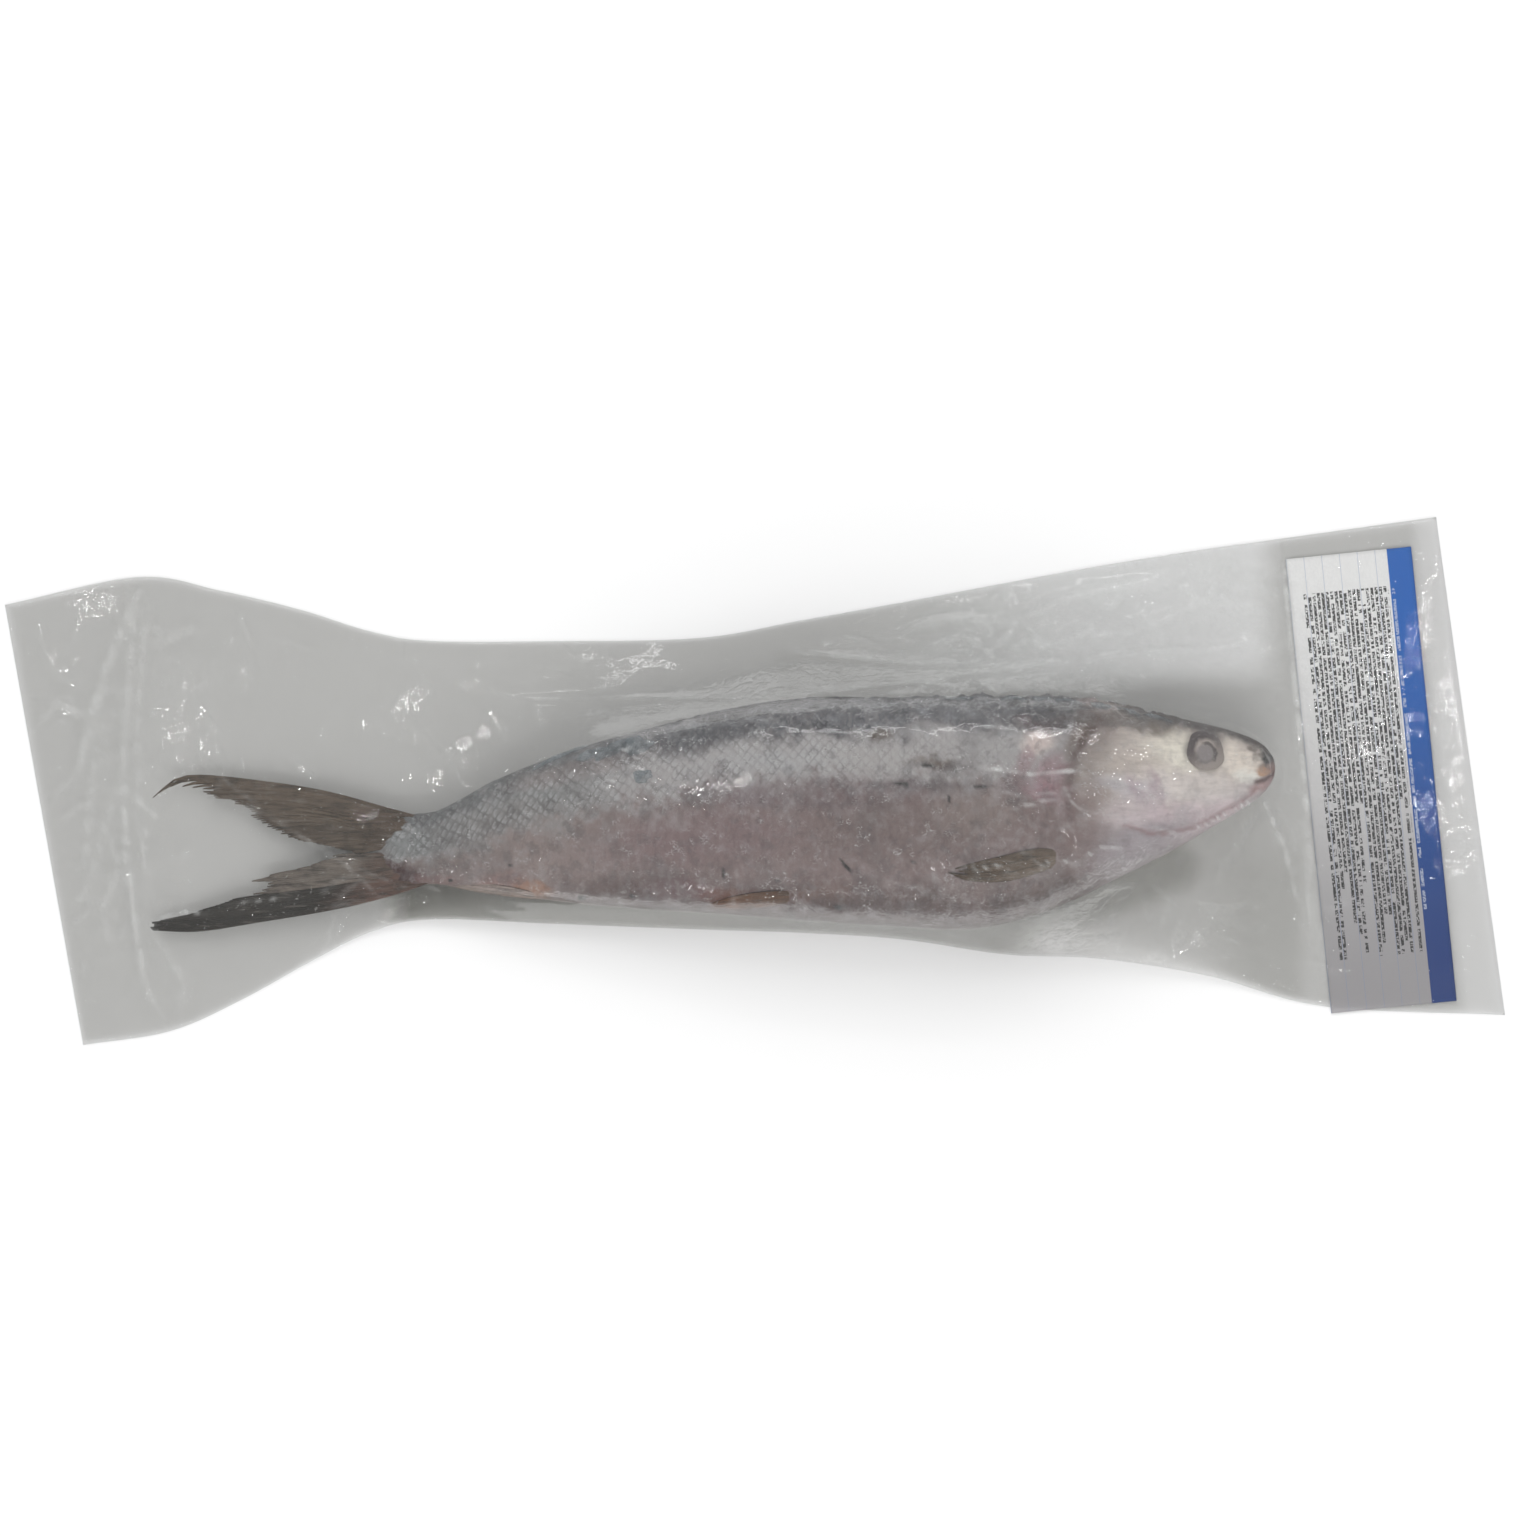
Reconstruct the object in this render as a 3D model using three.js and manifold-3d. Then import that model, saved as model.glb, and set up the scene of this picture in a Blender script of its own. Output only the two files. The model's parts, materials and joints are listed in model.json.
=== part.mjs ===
// A frozen milkfish (Chanos chanos) lying on its side in a sealed clear film bag with a paper label.
//
// Units are millimetres. +X runs from the tail to the snout, +Y from the belly to the back, and +Z up
// from the table that the bag rests on. The origin is under the middle of the bag.
//
// The fish is a loft through oval sections, with thin fins fitted against it and an eyeball in a socket on
// each side. The bag is two thin panels that follow what they cover, welded along their edges and across
// both ends; the label lies in the pocket between the head-end weld and the end of the bag.

import * as THREE from "three";
import { LoftGeometry } from "three/addons/geometries/LoftGeometry.js";
import { mergeGeometries, mergeVertices } from "three/addons/utils/BufferGeometryUtils.js";
import Module from "manifold-3d";

const wasm = await Module();
wasm.setup();

// ---------------------------------------------------------------- driving dimensions

const GAP = 0.35; // between pieces that touch
const FILM = 0.4; // thickness of one bag panel
const PAPER = 0.4; // thickness of the label
const FIN = 1.6; // thickness of the tail, dorsal and anal fins
const SIDE_FIN = 0.9; // thickness of the paired fins, which lie on the flanks
const TABLE = 0; // height of the surface below the bag
const FLOOR = TABLE + FILM + GAP; // height of the lowest thing inside the bag

// Sections of the head and trunk: x, back edge y, belly edge y, half of the body's width, height of its middle.
const BODY = [
  [-180, -30.0, -34.0, 1.4, 9.0],
  [-174, -23.5, -41.5, 3.0, 9.3],
  [-160, -16.0, -46.8, 5.6, 9.9],
  [-145, -13.3, -47.4, 7.6, 11.0],
  [-117, 1.4, -51.5, 11.6, 14.2],
  [-71, 17.9, -56.6, 17.2, 19.0],
  [-25, 29.2, -60.0, 21.8, 23.3],
  [21, 36.2, -63.4, 25.2, 26.5],
  [67, 38.2, -66.4, 27.0, 28.1],
  [100, 38.6, -67.2, 27.2, 28.2],
  [125, 38.5, -61.8, 26.8, 27.8],
  [145, 37.7, -54.5, 25.6, 26.9],
  [163, 35.5, -45.5, 23.8, 25.8],
  [186, 30.3, -34.4, 20.0, 23.6],
  [205, 26.4, -23.6, 15.8, 21.4],
  [223, 21.4, -12.6, 11.0, 19.8],
  [233, 16.4, -5.4, 7.2, 19.0],
  [238.4, 9.4, 2.6, 2.4, 18.6],
];
const UPPER_FULLNESS = 2.25; // how square the section is above its middle: 2 is an ellipse
const LOWER_FULLNESS = 2.7; // the side that the fish froze on is flatter
const BODY_STEPS = 38;
const ROUND_STEPS = 24;

const TAIL_TILT = 0.041; // radians: the tips droop towards the table
const TAIL_HEIGHT = 9.1; // the tail fin's middle where it leaves the body
const TAIL_ROOT_X = -176;

const EYE = { x: 206, y: 13.6, radius: 8.6, bulge: 1.1, depth: 5.2 };

// The bag's two long edges: top edge x and y, bottom edge x and y, and how far the bottom edge stands off the table,
// where the belly holds it up.
const BAG = [
  [-345.0, 81.0, -309.0, -121.4, 0],
  [-284.0, 93.8, -269.0, -115.0, 0],
  [-246.0, 87.5, -236.0, -100.5, 0],
  [-209.0, 78.7, -205.0, -83.3, 0.5],
  [-177.0, 68.8, -177.0, -69.5, 1.5],
  [-149.0, 64.4, -149.5, -63.6, 4],
  [-90.0, 64.3, -94.0, -65.4, 9],
  [-25.0, 65.8, -25.0, -68.0, 13],
  [20.0, 73.6, 20.0, -69.4, 16],
  [67.0, 82.0, 67.0, -72.4, 18],
  [113.0, 90.6, 115.0, -79.4, 16],
  [158.0, 98.8, 158.0, -81.5, 10],
  [205.0, 106.3, 209.0, -89.7, 3],
  [243.0, 111.6, 262.0, -103.6, 0],
  [313.3, 121.4, 345.0, -107.6, 0],
];
const BAG_STEPS = 42;
const BAG_ACROSS = 20;
const CURL = 28; // the lower panel curls up over this width beside the belly
const LABEL = { x: 283.4, y: 0.5, width: 58, length: 210, turn: 0.1 };

// ---------------------------------------------------------------- small tools

const lerp = THREE.MathUtils.lerp;

// Reads a table as a smooth curve: the value of a column at x, by Catmull-Rom between rows.
function column(table, index, x) {
  const last = table.length - 1;
  let i = 0;
  while (i < last - 1 && x > table[i + 1][0]) i++;
  const [before, a, b, after] = [i - 1, i, i + 1, i + 2].map(
    (k) => table[THREE.MathUtils.clamp(k, 0, last)],
  );
  const span = b[0] - a[0];
  const t = THREE.MathUtils.clamp((x - a[0]) / span, 0, 1);
  const slopeA = before === a ? (b[index] - a[index]) / span : (b[index] - before[index]) / (b[0] - before[0]);
  const slopeB = after === b ? (b[index] - a[index]) / span : (after[index] - a[index]) / (after[0] - a[0]);
  return (
    a[index] * (1 + 2 * t) * (1 - t) ** 2 +
    slopeA * span * t * (1 - t) ** 2 +
    b[index] * t * t * (3 - 2 * t) -
    slopeB * span * t * t * (1 - t)
  );
}

const signedPower = (value, power) => Math.sign(value) * Math.abs(value) ** power;

// The body's section at x: middle, half depth, half width, and height of the middle.
function sectionAt(x) {
  const back = column(BODY, 1, x);
  const belly = column(BODY, 2, x);
  return { y: (back + belly) / 2, depth: (back - belly) / 2, width: column(BODY, 3, x), z: column(BODY, 4, x) };
}

// How far the body's surface is from its middle plane at (x, y), above it or below it. Null beside the body.
function flankAt(x, y, fullness, extra = 0) {
  const s = sectionAt(x);
  const across = Math.abs(y - s.y) / (s.depth + extra);
  if (across >= 1) return null;
  return { middle: s.z, out: (s.width + extra) * (1 - across ** fullness) ** (1 / fullness) };
}

const FIRST = BODY[0][0];
const LAST = BODY[BODY.length - 1][0];

function toSolid(geometry) {
  const bare = new THREE.BufferGeometry();
  bare.setAttribute("position", geometry.getAttribute("position"));
  bare.setIndex(geometry.index);
  const merged = mergeVertices(bare, 1e-4);
  return new wasm.Manifold(
    new wasm.Mesh({
      numProp: 3,
      vertProperties: merged.attributes.position.array,
      triVerts: new Uint32Array(merged.index.array),
    }),
  );
}

function toGeometry(solid) {
  const mesh = solid.getMesh();
  const geometry = new THREE.BufferGeometry();
  geometry.setAttribute("position", new THREE.BufferAttribute(new Float32Array(mesh.vertProperties), 3));
  geometry.setIndex(new THREE.BufferAttribute(new Uint32Array(mesh.triVerts), 1));
  geometry.computeVertexNormals();
  return geometry;
}

// ---------------------------------------------------------------- head and trunk

// The whole body as one loft. extra swells it, to make the tool that fits a fin against it.
function bodyGeometry(extra = 0) {
  const sections = [];
  for (let i = 0; i <= BODY_STEPS; i++) {
    // Steps gather towards both ends, where the shape turns quickly.
    const even = i / BODY_STEPS;
    const share = lerp(even, (1 - Math.cos(Math.PI * even)) / 2, 0.6);
    const x = lerp(FIRST, LAST, share);
    const s = sectionAt(x);
    const shift = lerp(-extra, extra, share);
    const ring = [];
    for (let j = 0; j < ROUND_STEPS; j++) {
      const angle = (j / ROUND_STEPS) * 2 * Math.PI;
      const fullness = Math.sin(angle) >= 0 ? UPPER_FULLNESS : LOWER_FULLNESS;
      ring.push(
        new THREE.Vector3(
          x + shift,
          s.y + (s.depth + extra) * signedPower(Math.cos(angle), 2 / fullness),
          s.z + (s.width + extra) * signedPower(Math.sin(angle), 2 / fullness),
        ),
      );
    }
    sections.push(ring);
  }
  return new LoftGeometry(sections, { capStart: true, capEnd: true });
}

// One eyeball: a flattened ball facing straight out of the head, with its outer face a little proud of it. side is
// 1 above, -1 below.
function eyeGeometry(side, extra = 0) {
  const fullness = side > 0 ? UPPER_FULLNESS : LOWER_FULLNESS;
  const surfacePoint = (x, y) => {
    const surface = flankAt(x, y, fullness);
    return new THREE.Vector3(x, y, surface.middle + side * surface.out);
  };
  const [centre, ahead, above] = [surfacePoint(EYE.x, EYE.y), surfacePoint(EYE.x + 4, EYE.y), surfacePoint(EYE.x, EYE.y + 4)];
  const facing = ahead.sub(centre).cross(above.sub(centre)).normalize().multiplyScalar(side);
  const half = EYE.depth / 2;
  const ball = new THREE.SphereGeometry(1, 18, 10);
  ball.rotateX(Math.PI / 2);
  ball.scale(EYE.radius + extra, EYE.radius + extra, half + extra);
  ball.applyQuaternion(new THREE.Quaternion().setFromUnitVectors(new THREE.Vector3(0, 0, 1), facing));
  return ball.translate(...centre.addScaledVector(facing, EYE.bulge - half));
}

const swollenBody = toSolid(bodyGeometry(GAP));
const fishBody = toSolid(bodyGeometry())
  .subtract(toSolid(eyeGeometry(1, GAP)))
  .subtract(toSolid(eyeGeometry(-1, GAP)));

// ---------------------------------------------------------------- fins

// A flat fin cut from its outline, thick about z = 0, with its outline's curves kept coarse.
function finPlate(shape, thickness) {
  const plate = new THREE.ExtrudeGeometry(shape, { depth: thickness, bevelEnabled: false, curveSegments: 5 });
  plate.translate(0, 0, -thickness / 2);
  return plate;
}

// The forked tail: two long lobes, the lower one split where its rays have parted.
function tailShape() {
  const shape = new THREE.Shape();
  shape.moveTo(-152, -16.0);
  shape.quadraticCurveTo(-185, -8.5, -232, -0.6);
  shape.bezierCurveTo(-262, 5.2, -270, 2.0, -277.5, -6.6); // upper tip, curled down
  shape.quadraticCurveTo(-266, -1.0, -256, -2.6);
  shape.quadraticCurveTo(-236, -14.0, -222, -21.4);
  shape.lineTo(-210, -22.6);
  shape.lineTo(-213, -26.4);
  shape.lineTo(-189, -34.2); // the fork
  shape.lineTo(-212, -39.6);
  shape.quadraticCurveTo(-232, -43.4, -252, -53.6);
  shape.lineTo(-219, -51.6); // the split
  shape.lineTo(-240, -57.6);
  shape.lineTo(-277.5, -65.0);
  shape.lineTo(-277.0, -68.6);
  shape.quadraticCurveTo(-250, -72.0, -205, -61.6); // the lower leading edge
  shape.quadraticCurveTo(-172, -53.0, -152, -47.5);
  shape.closePath();
  return shape;
}

function tailGeometry() {
  const plate = finPlate(tailShape(), FIN);
  plate.translate(-TAIL_ROOT_X, 0, 0);
  plate.rotateY(-TAIL_TILT);
  plate.translate(TAIL_ROOT_X, 0, TAIL_HEIGHT);
  return plate;
}

// A fin folded down along the back or the belly: a low blade from its tip near the tail to its root, following
// the body's edge. sign is 1 along the back and -1 along the belly.
function foldedFin(tipX, rootX, height, sign) {
  const edge = (x) => column(BODY, sign > 0 ? 1 : 2, x);
  const shape = new THREE.Shape();
  const steps = 10;
  shape.moveTo(tipX, edge(tipX) + sign * 0.9);
  for (let i = 1; i <= steps; i++) {
    const x = lerp(tipX, rootX, i / steps);
    shape.lineTo(x, edge(x) + sign * (0.9 + height * Math.sin((Math.PI * i) / (steps + 1)) ** 0.8));
  }
  shape.lineTo(rootX, edge(rootX) - sign * 6);
  shape.lineTo(lerp(tipX, rootX, 0.3), edge(lerp(tipX, rootX, 0.3)) - sign * 6);
  shape.closePath();
  const plate = finPlate(shape, FIN);
  const [tipZ, rootZ] = [column(BODY, 4, tipX), column(BODY, 4, rootX)];
  plate.translate(-tipX, 0, 0);
  plate.rotateY(-Math.atan2(rootZ - tipZ, rootX - tipX));
  plate.translate(tipX, 0, tipZ);
  return plate;
}

// A paired fin lying against the flank: rows are x, lower edge y and upper edge y, from its tip to its root.
function flankFin(rows, side) {
  const fullness = side > 0 ? UPPER_FULLNESS : LOWER_FULLNESS;
  const along = 12;
  const across = 5;
  const sections = [];
  for (let i = 0; i <= along; i++) {
    const x = lerp(rows[0][0], rows[rows.length - 1][0], i / along);
    const [low, high] = [column(rows, 1, x), column(rows, 2, x)];
    const near = [];
    const far = [];
    for (let j = 0; j <= across; j++) {
      const y = lerp(low, high, j / across);
      const surface = flankAt(x, y, fullness);
      const out = surface.out + GAP;
      near.push(new THREE.Vector3(x, y, surface.middle + side * out));
      far.push(new THREE.Vector3(x, y, surface.middle + side * (out + SIDE_FIN)));
    }
    const ring = [...near, ...far.reverse()];
    sections.push(side > 0 ? ring : ring.reverse());
  }
  return new LoftGeometry(sections, { capStart: true, capEnd: true });
}

const PECTORAL = [
  [87.5, -41.6, -40.8],
  [97, -45.2, -37.6],
  [113, -45.6, -33.8],
  [128, -42.0, -30.6],
  [141.5, -36.4, -31.6],
];
const PELVIC = [
  [-21, -57.0, -56.2],
  [-10, -58.0, -52.6],
  [4, -57.4, -50.4],
  [18, -54.6, -50.0],
];
// The hidden pair lies where the flank curves up, clear of the bag's lower panel.
const shifted = (rows, by) => rows.map(([x, low, high]) => [x, low + by, high + by]);

// ---------------------------------------------------------------- bag

// The label's own corner test, as a height: its top face inside it, nothing outside it.
function labelTop(x, y) {
  const [dx, dy] = [x - LABEL.x, y - LABEL.y];
  const u = Math.abs(dx * Math.cos(LABEL.turn) - dy * Math.sin(LABEL.turn));
  const v = Math.abs(dx * Math.sin(LABEL.turn) + dy * Math.cos(LABEL.turn));
  return u < LABEL.width / 2 + 4 && v < LABEL.length / 2 + 4 ? FLOOR + PAPER + GAP : 0;
}

// The tail fin's span: x, top y, bottom y.
const TAIL_SPAN = [
  [-279, -1.0, -71.5],
  [-250, 5.5, -71.5],
  [-205, -2.5, -64.0],
  [-150, -12.0, -49.0],
];
const OVER_FISH = 1.9; // the film's clearance over the fish and its side fins
const OVER_TAIL = 1.2;

// The lowest that the upper panel may lie at (x, y), over whatever is inside the bag.
function contentTop(x, y) {
  let top = Math.max(FILM + GAP, labelTop(x, y));
  if (x > TAIL_SPAN[0][0] && x < TAIL_SPAN[3][0] && y < column(TAIL_SPAN, 1, x) && y > column(TAIL_SPAN, 2, x))
    top = Math.max(top, TAIL_HEIGHT + TAIL_TILT * (x - TAIL_ROOT_X) + FIN / 2 + OVER_TAIL);
  if (x > FIRST - 2 && x < LAST + 2) {
    const surface = flankAt(THREE.MathUtils.clamp(x, FIRST, LAST), y, UPPER_FULLNESS, OVER_FISH);
    if (surface) top = Math.max(top, surface.middle + surface.out + 0.5);
  }
  return top;
}

// The line of a film pulled tight over a row of heights, which bridges hollows up to reach steps wide.
function tautOver(heights, reach) {
  const taut = [...heights];
  for (let i = 0; i < heights.length; i++)
    for (let j = i + 2; j < heights.length && j - i <= reach; j++)
      for (let k = i + 1; k < j; k++)
        taut[k] = Math.max(taut[k], lerp(heights[i], heights[j], (k - i) / (j - i)));
  return taut;
}

// Points down the bag, each a row of places across it from the top edge to the bottom edge.
const topEdge = new THREE.CatmullRomCurve3(BAG.map(([x, y]) => new THREE.Vector3(x, y, 0)));
const bottomEdge = new THREE.CatmullRomCurve3(BAG.map((row) => new THREE.Vector3(row[2], row[3], row[4])));

const bagRows = [];
for (let i = 0; i <= BAG_STEPS; i++) {
  const [top, bottom] = [topEdge.getPoint(i / BAG_STEPS), bottomEdge.getPoint(i / BAG_STEPS)];
  const row = [];
  for (let j = 0; j <= BAG_ACROSS; j++) {
    const share = j / BAG_ACROSS;
    const fromBelly = top.distanceTo(bottom) * (1 - share);
    const lift = Math.max(bottom.z, 0) * Math.max(0, 1 - fromBelly / CURL) ** 2;
    row.push({ x: lerp(top.x, bottom.x, share), y: lerp(top.y, bottom.y, share), lift });
  }
  bagRows.push(row);
}

// The upper panel's underside: tight across the bag first, then over short hollows along it.
const acrossHeights = bagRows.map((row) =>
  tautOver(row.map((p) => Math.max(contentTop(p.x, p.y), p.lift + FILM + GAP)), BAG_ACROSS),
);
const BRIDGE = 6; // steps along the bag
const upperHeights = acrossHeights.map((row) => [...row]);
for (let j = 0; j <= BAG_ACROSS; j++) {
  const taut = tautOver(acrossHeights.map((row) => row[j]), BRIDGE);
  taut.forEach((height, i) => (upperHeights[i][j] = height));
}

// A panel: one thin sheet whose underside is at the given heights. Both of its faces are split along the same
// diagonals, so that they stay one film thickness apart where the sheet twists, and a rim closes its edge.
function panelGeometry(heightOf) {
  const under = bagRows.map((row, i) => row.map((p, j) => new THREE.Vector3(p.x, p.y, heightOf(i, j))));
  const over = under.map((row) => row.map((v) => v.clone().setZ(v.z + FILM)));
  const overFace = new LoftGeometry(over, { closed: false });
  const underFace = new LoftGeometry(under, { closed: false });
  underFace.index.array.reverse();
  const rim = new LoftGeometry([border(under), border(over)]);
  return mergeGeometries([overFace, underFace, rim]);
}

// The points around the edge of a sheet of rows, in order.
function border(rows) {
  const [first, last] = [rows[0], rows[rows.length - 1]];
  const between = rows.slice(1, -1);
  const bottomSide = between.map((row) => row[row.length - 1]);
  const topSide = between.map((row) => row[0]).reverse();
  return [...first, ...bottomSide, ...[...last].reverse(), ...topSide];
}

function labelGeometry() {
  const sheet = new THREE.BoxGeometry(LABEL.width, LABEL.length, PAPER);
  sheet.rotateZ(LABEL.turn);
  sheet.translate(LABEL.x, LABEL.y, FLOOR + PAPER / 2);
  return sheet;
}

// ---------------------------------------------------------------- materials and assembly

const finish = (color, roughness, extra = {}) =>
  new THREE.MeshStandardMaterial({ color, roughness, metalness: 0, ...extra });
const SKIN = finish(0x8d8584, 0.42);
const FIN_SKIN = finish(0x5b5149, 0.5);
const PELVIC_SKIN = finish(0x8a6a50, 0.5);
const EYE_TISSUE = finish(0x8f8b8b, 0.3);
const CLEAR_FILM = finish(0xc8c9c5, 0.15, { transparent: true, opacity: 0.35 });
const LABEL_PAPER = finish(0xe6e6ea, 0.7);

const milkfish = new THREE.Group();

function add(name, geometry, material) {
  const mesh = new THREE.Mesh(geometry, material);
  mesh.name = name;
  milkfish.add(mesh);
}

const fitted = (geometry) => toGeometry(toSolid(geometry).subtract(swollenBody));

add("fish_body", toGeometry(fishBody), SKIN);
add("eye_right", eyeGeometry(1), EYE_TISSUE);
add("eye_left", eyeGeometry(-1), EYE_TISSUE);
add("tail_fin", fitted(tailGeometry()), FIN_SKIN);
add("dorsal_fin", fitted(foldedFin(-33, 48, 1.9, 1)), FIN_SKIN);
add("anal_fin", fitted(foldedFin(-141, -97, 2.6, -1)), PELVIC_SKIN);
add("pectoral_fin_right", flankFin(PECTORAL, 1), FIN_SKIN);
add("pectoral_fin_left", flankFin(shifted(PECTORAL, -5), -1), FIN_SKIN);
add("pelvic_fin_right", flankFin(PELVIC, 1), PELVIC_SKIN);
add("pelvic_fin_left", flankFin(shifted(PELVIC, 3), -1), PELVIC_SKIN);
add("bag_upper_panel", panelGeometry((i, j) => upperHeights[i][j]), CLEAR_FILM);
add("bag_lower_panel", panelGeometry((i, j) => bagRows[i][j].lift), CLEAR_FILM);
add("label", labelGeometry(), LABEL_PAPER);

export default milkfish;
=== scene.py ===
"""A frozen milkfish in a clear film bag: the looks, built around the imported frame.

Shapes are worked out in millimetres in the frame's own axes: +X from tail to snout, +Y from belly to back,
+Z up from the table. They are turned into metres as each mesh is finished.
"""

import json
import math

import bmesh
import bpy
import numpy as np
from mathutils import Matrix, Vector, noise
from mathutils.bvhtree import BVHTree

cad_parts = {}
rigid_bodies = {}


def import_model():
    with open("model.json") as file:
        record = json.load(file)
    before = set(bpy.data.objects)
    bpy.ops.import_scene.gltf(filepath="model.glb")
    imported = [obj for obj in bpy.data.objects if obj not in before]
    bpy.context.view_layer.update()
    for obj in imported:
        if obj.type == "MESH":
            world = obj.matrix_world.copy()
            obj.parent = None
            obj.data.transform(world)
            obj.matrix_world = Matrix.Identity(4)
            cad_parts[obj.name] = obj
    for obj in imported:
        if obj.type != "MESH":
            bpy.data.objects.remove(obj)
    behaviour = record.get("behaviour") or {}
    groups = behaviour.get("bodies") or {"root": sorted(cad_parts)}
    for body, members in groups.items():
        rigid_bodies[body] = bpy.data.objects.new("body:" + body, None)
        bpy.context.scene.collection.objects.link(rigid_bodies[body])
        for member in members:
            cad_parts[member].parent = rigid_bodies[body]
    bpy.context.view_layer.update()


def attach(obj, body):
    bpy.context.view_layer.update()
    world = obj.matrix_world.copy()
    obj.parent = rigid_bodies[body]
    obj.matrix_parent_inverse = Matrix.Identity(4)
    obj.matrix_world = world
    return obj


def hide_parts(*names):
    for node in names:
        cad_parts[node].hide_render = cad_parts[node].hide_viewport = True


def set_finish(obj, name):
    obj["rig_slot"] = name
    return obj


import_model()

MM = 0.001  # metres in a millimetre
BODY = "root"
SEED = 41


# ---------------------------------------------------------------- driving sizes, in millimetres

# Sections of the head and trunk: x, back edge y, belly edge y, half of the body's width, and the height of
# its middle.
SECTIONS = np.array([
    (-180, -30.0, -34.0, 1.4, 9.0),
    (-174, -23.5, -41.5, 3.0, 9.3),
    (-160, -16.0, -46.8, 5.6, 9.9),
    (-145, -13.3, -47.4, 7.6, 11.0),
    (-117, 1.4, -51.5, 11.6, 14.2),
    (-71, 17.9, -56.6, 17.2, 19.0),
    (-25, 29.2, -60.0, 21.8, 23.3),
    (21, 36.2, -63.4, 25.2, 26.5),
    (67, 38.2, -66.4, 27.0, 28.1),
    (100, 38.6, -67.2, 27.2, 28.2),
    (125, 38.5, -61.8, 26.8, 27.8),
    (145, 37.7, -54.5, 25.6, 26.9),
    (163, 35.5, -45.5, 23.8, 25.8),
    (186, 30.3, -34.4, 20.0, 23.6),
    (205, 26.4, -23.6, 15.8, 21.4),
    (223, 21.4, -12.6, 11.0, 19.8),
    (233, 16.4, -5.4, 7.2, 19.0),
    (238.4, 9.4, 2.6, 2.4, 18.6),
])
UPPER_FULLNESS = 2.25
LOWER_FULLNESS = 2.7
BODY_STEP = 1.06  # between the skin's points
BODY_POINTS_AROUND = 238
BODY_GATHERING = 0.25  # how far its points gather towards the snout and the tail, from 0 to 1
CLOSED_FROM = 0.992  # the share of the half length past which an end rounds shut
FISH_LOWEST = 0.55  # the skin's least height over the table
SNOUT_X = 238.4
TAIL_END_X = -180.0

SCALE_ALONG = 4.7  # one scale, along the fish
SCALE_ACROSS = 5.2  # two rows of scales, across it
SCALE_TIP = 0.75  # how far a scale reaches past its middle line, in scales
SCALE_FLARE = 0.5  # how much less it reaches at its sides
SCALE_ROUNDING = 1.5  # 1 gives a pointed scale, 2 a round one
SCALE_RELIEF = 0.36  # how high a scale's edge stands
GILL_X = 142.0

EYE_X = 205.6
EYE_Y = 14.2
EYE_RADIUS = 9.8
EYE_HALF_THICK = 1.5
EYE_SUNK = 0.85
SOCKET_DEPTH = 1.6
EYE_RING_TONE = (92, 87, 88)

# The bag's long edges: top edge x and y, bottom edge x and y, and how far the bottom edge stands off the
# table.
BAG_EDGES = np.array([
    (-345.0, 81.0, -309.0, -121.4, 0),
    (-284.0, 93.8, -269.0, -115.0, 0),
    (-246.0, 87.5, -236.0, -100.5, 0),
    (-209.0, 78.7, -205.0, -83.3, 0.5),
    (-177.0, 68.8, -177.0, -69.5, 1.5),
    (-149.0, 64.4, -149.5, -63.6, 4),
    (-90.0, 64.3, -94.0, -65.4, 9),
    (-25.0, 65.8, -25.0, -68.0, 13),
    (20.0, 73.6, 20.0, -69.4, 16),
    (67.0, 82.0, 67.0, -72.4, 18),
    (113.0, 90.6, 115.0, -79.4, 16),
    (158.0, 98.8, 158.0, -81.5, 10),
    (205.0, 106.3, 209.0, -89.7, 3),
    (243.0, 111.6, 262.0, -103.6, 0),
    (313.3, 121.4, 345.0, -107.6, 0),
])
FILM = 0.12  # the film's own thickness
LOWER_FILM_HEIGHT = 0.2  # over the table, where nothing lifts it
FILM_OVER_FISH = 0.7  # the least gap between the upper film and what it covers
FILM_OVER_FILM = 0.5  # the least gap between the two films
TIGHTENING_ROUNDS = 700
FILM_STEPS_ALONG = 372
FILM_STEPS_ACROSS = 112
CURL = 28.0  # the lower panel curls up over this width beside the belly

LABEL_X = 283.4
LABEL_Y = 0.5
LABEL_WIDTH = 58.0
LABEL_LENGTH = 210.0
LABEL_TURN = 0.1
LABEL_HEIGHT = 0.75
LABEL_RIPPLE = 0.35

ICE_HALF_THICK = 0.6


# ---------------------------------------------------------------- numbers and curves


def smoothstep(low, high, value):
    """From 0 below low, smoothly up to 1 above high."""
    share = np.clip((value - low) / (high - low), 0, 1)
    return share * share * (3 - 2 * share)


def fall(low, high, value):
    """From 1 below low, smoothly down to 0 above high."""
    return 1 - smoothstep(low, high, value)


def read_curve(table, column, x):
    """A column of a table read as a smooth curve at x, which may be an array."""
    places = table[:, 0]
    values = table[:, column]
    x = np.clip(x, places[0], places[-1])
    i = np.clip(np.searchsorted(places, x, side="right") - 1, 0, len(places) - 2)
    before = np.maximum(i - 1, 0)
    after = np.minimum(i + 2, len(places) - 1)
    span = places[i + 1] - places[i]
    t = (x - places[i]) / span
    slope_a = (values[i + 1] - values[before]) / (places[i + 1] - places[before])
    slope_b = (values[after] - values[i]) / (places[after] - places[i])
    start = values[i] * (1 + 2 * t) * (1 - t) ** 2 + slope_a * span * t * (1 - t) ** 2
    return start + values[i + 1] * t * t * (3 - 2 * t) - slope_b * span * t * t * (1 - t)


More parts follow.
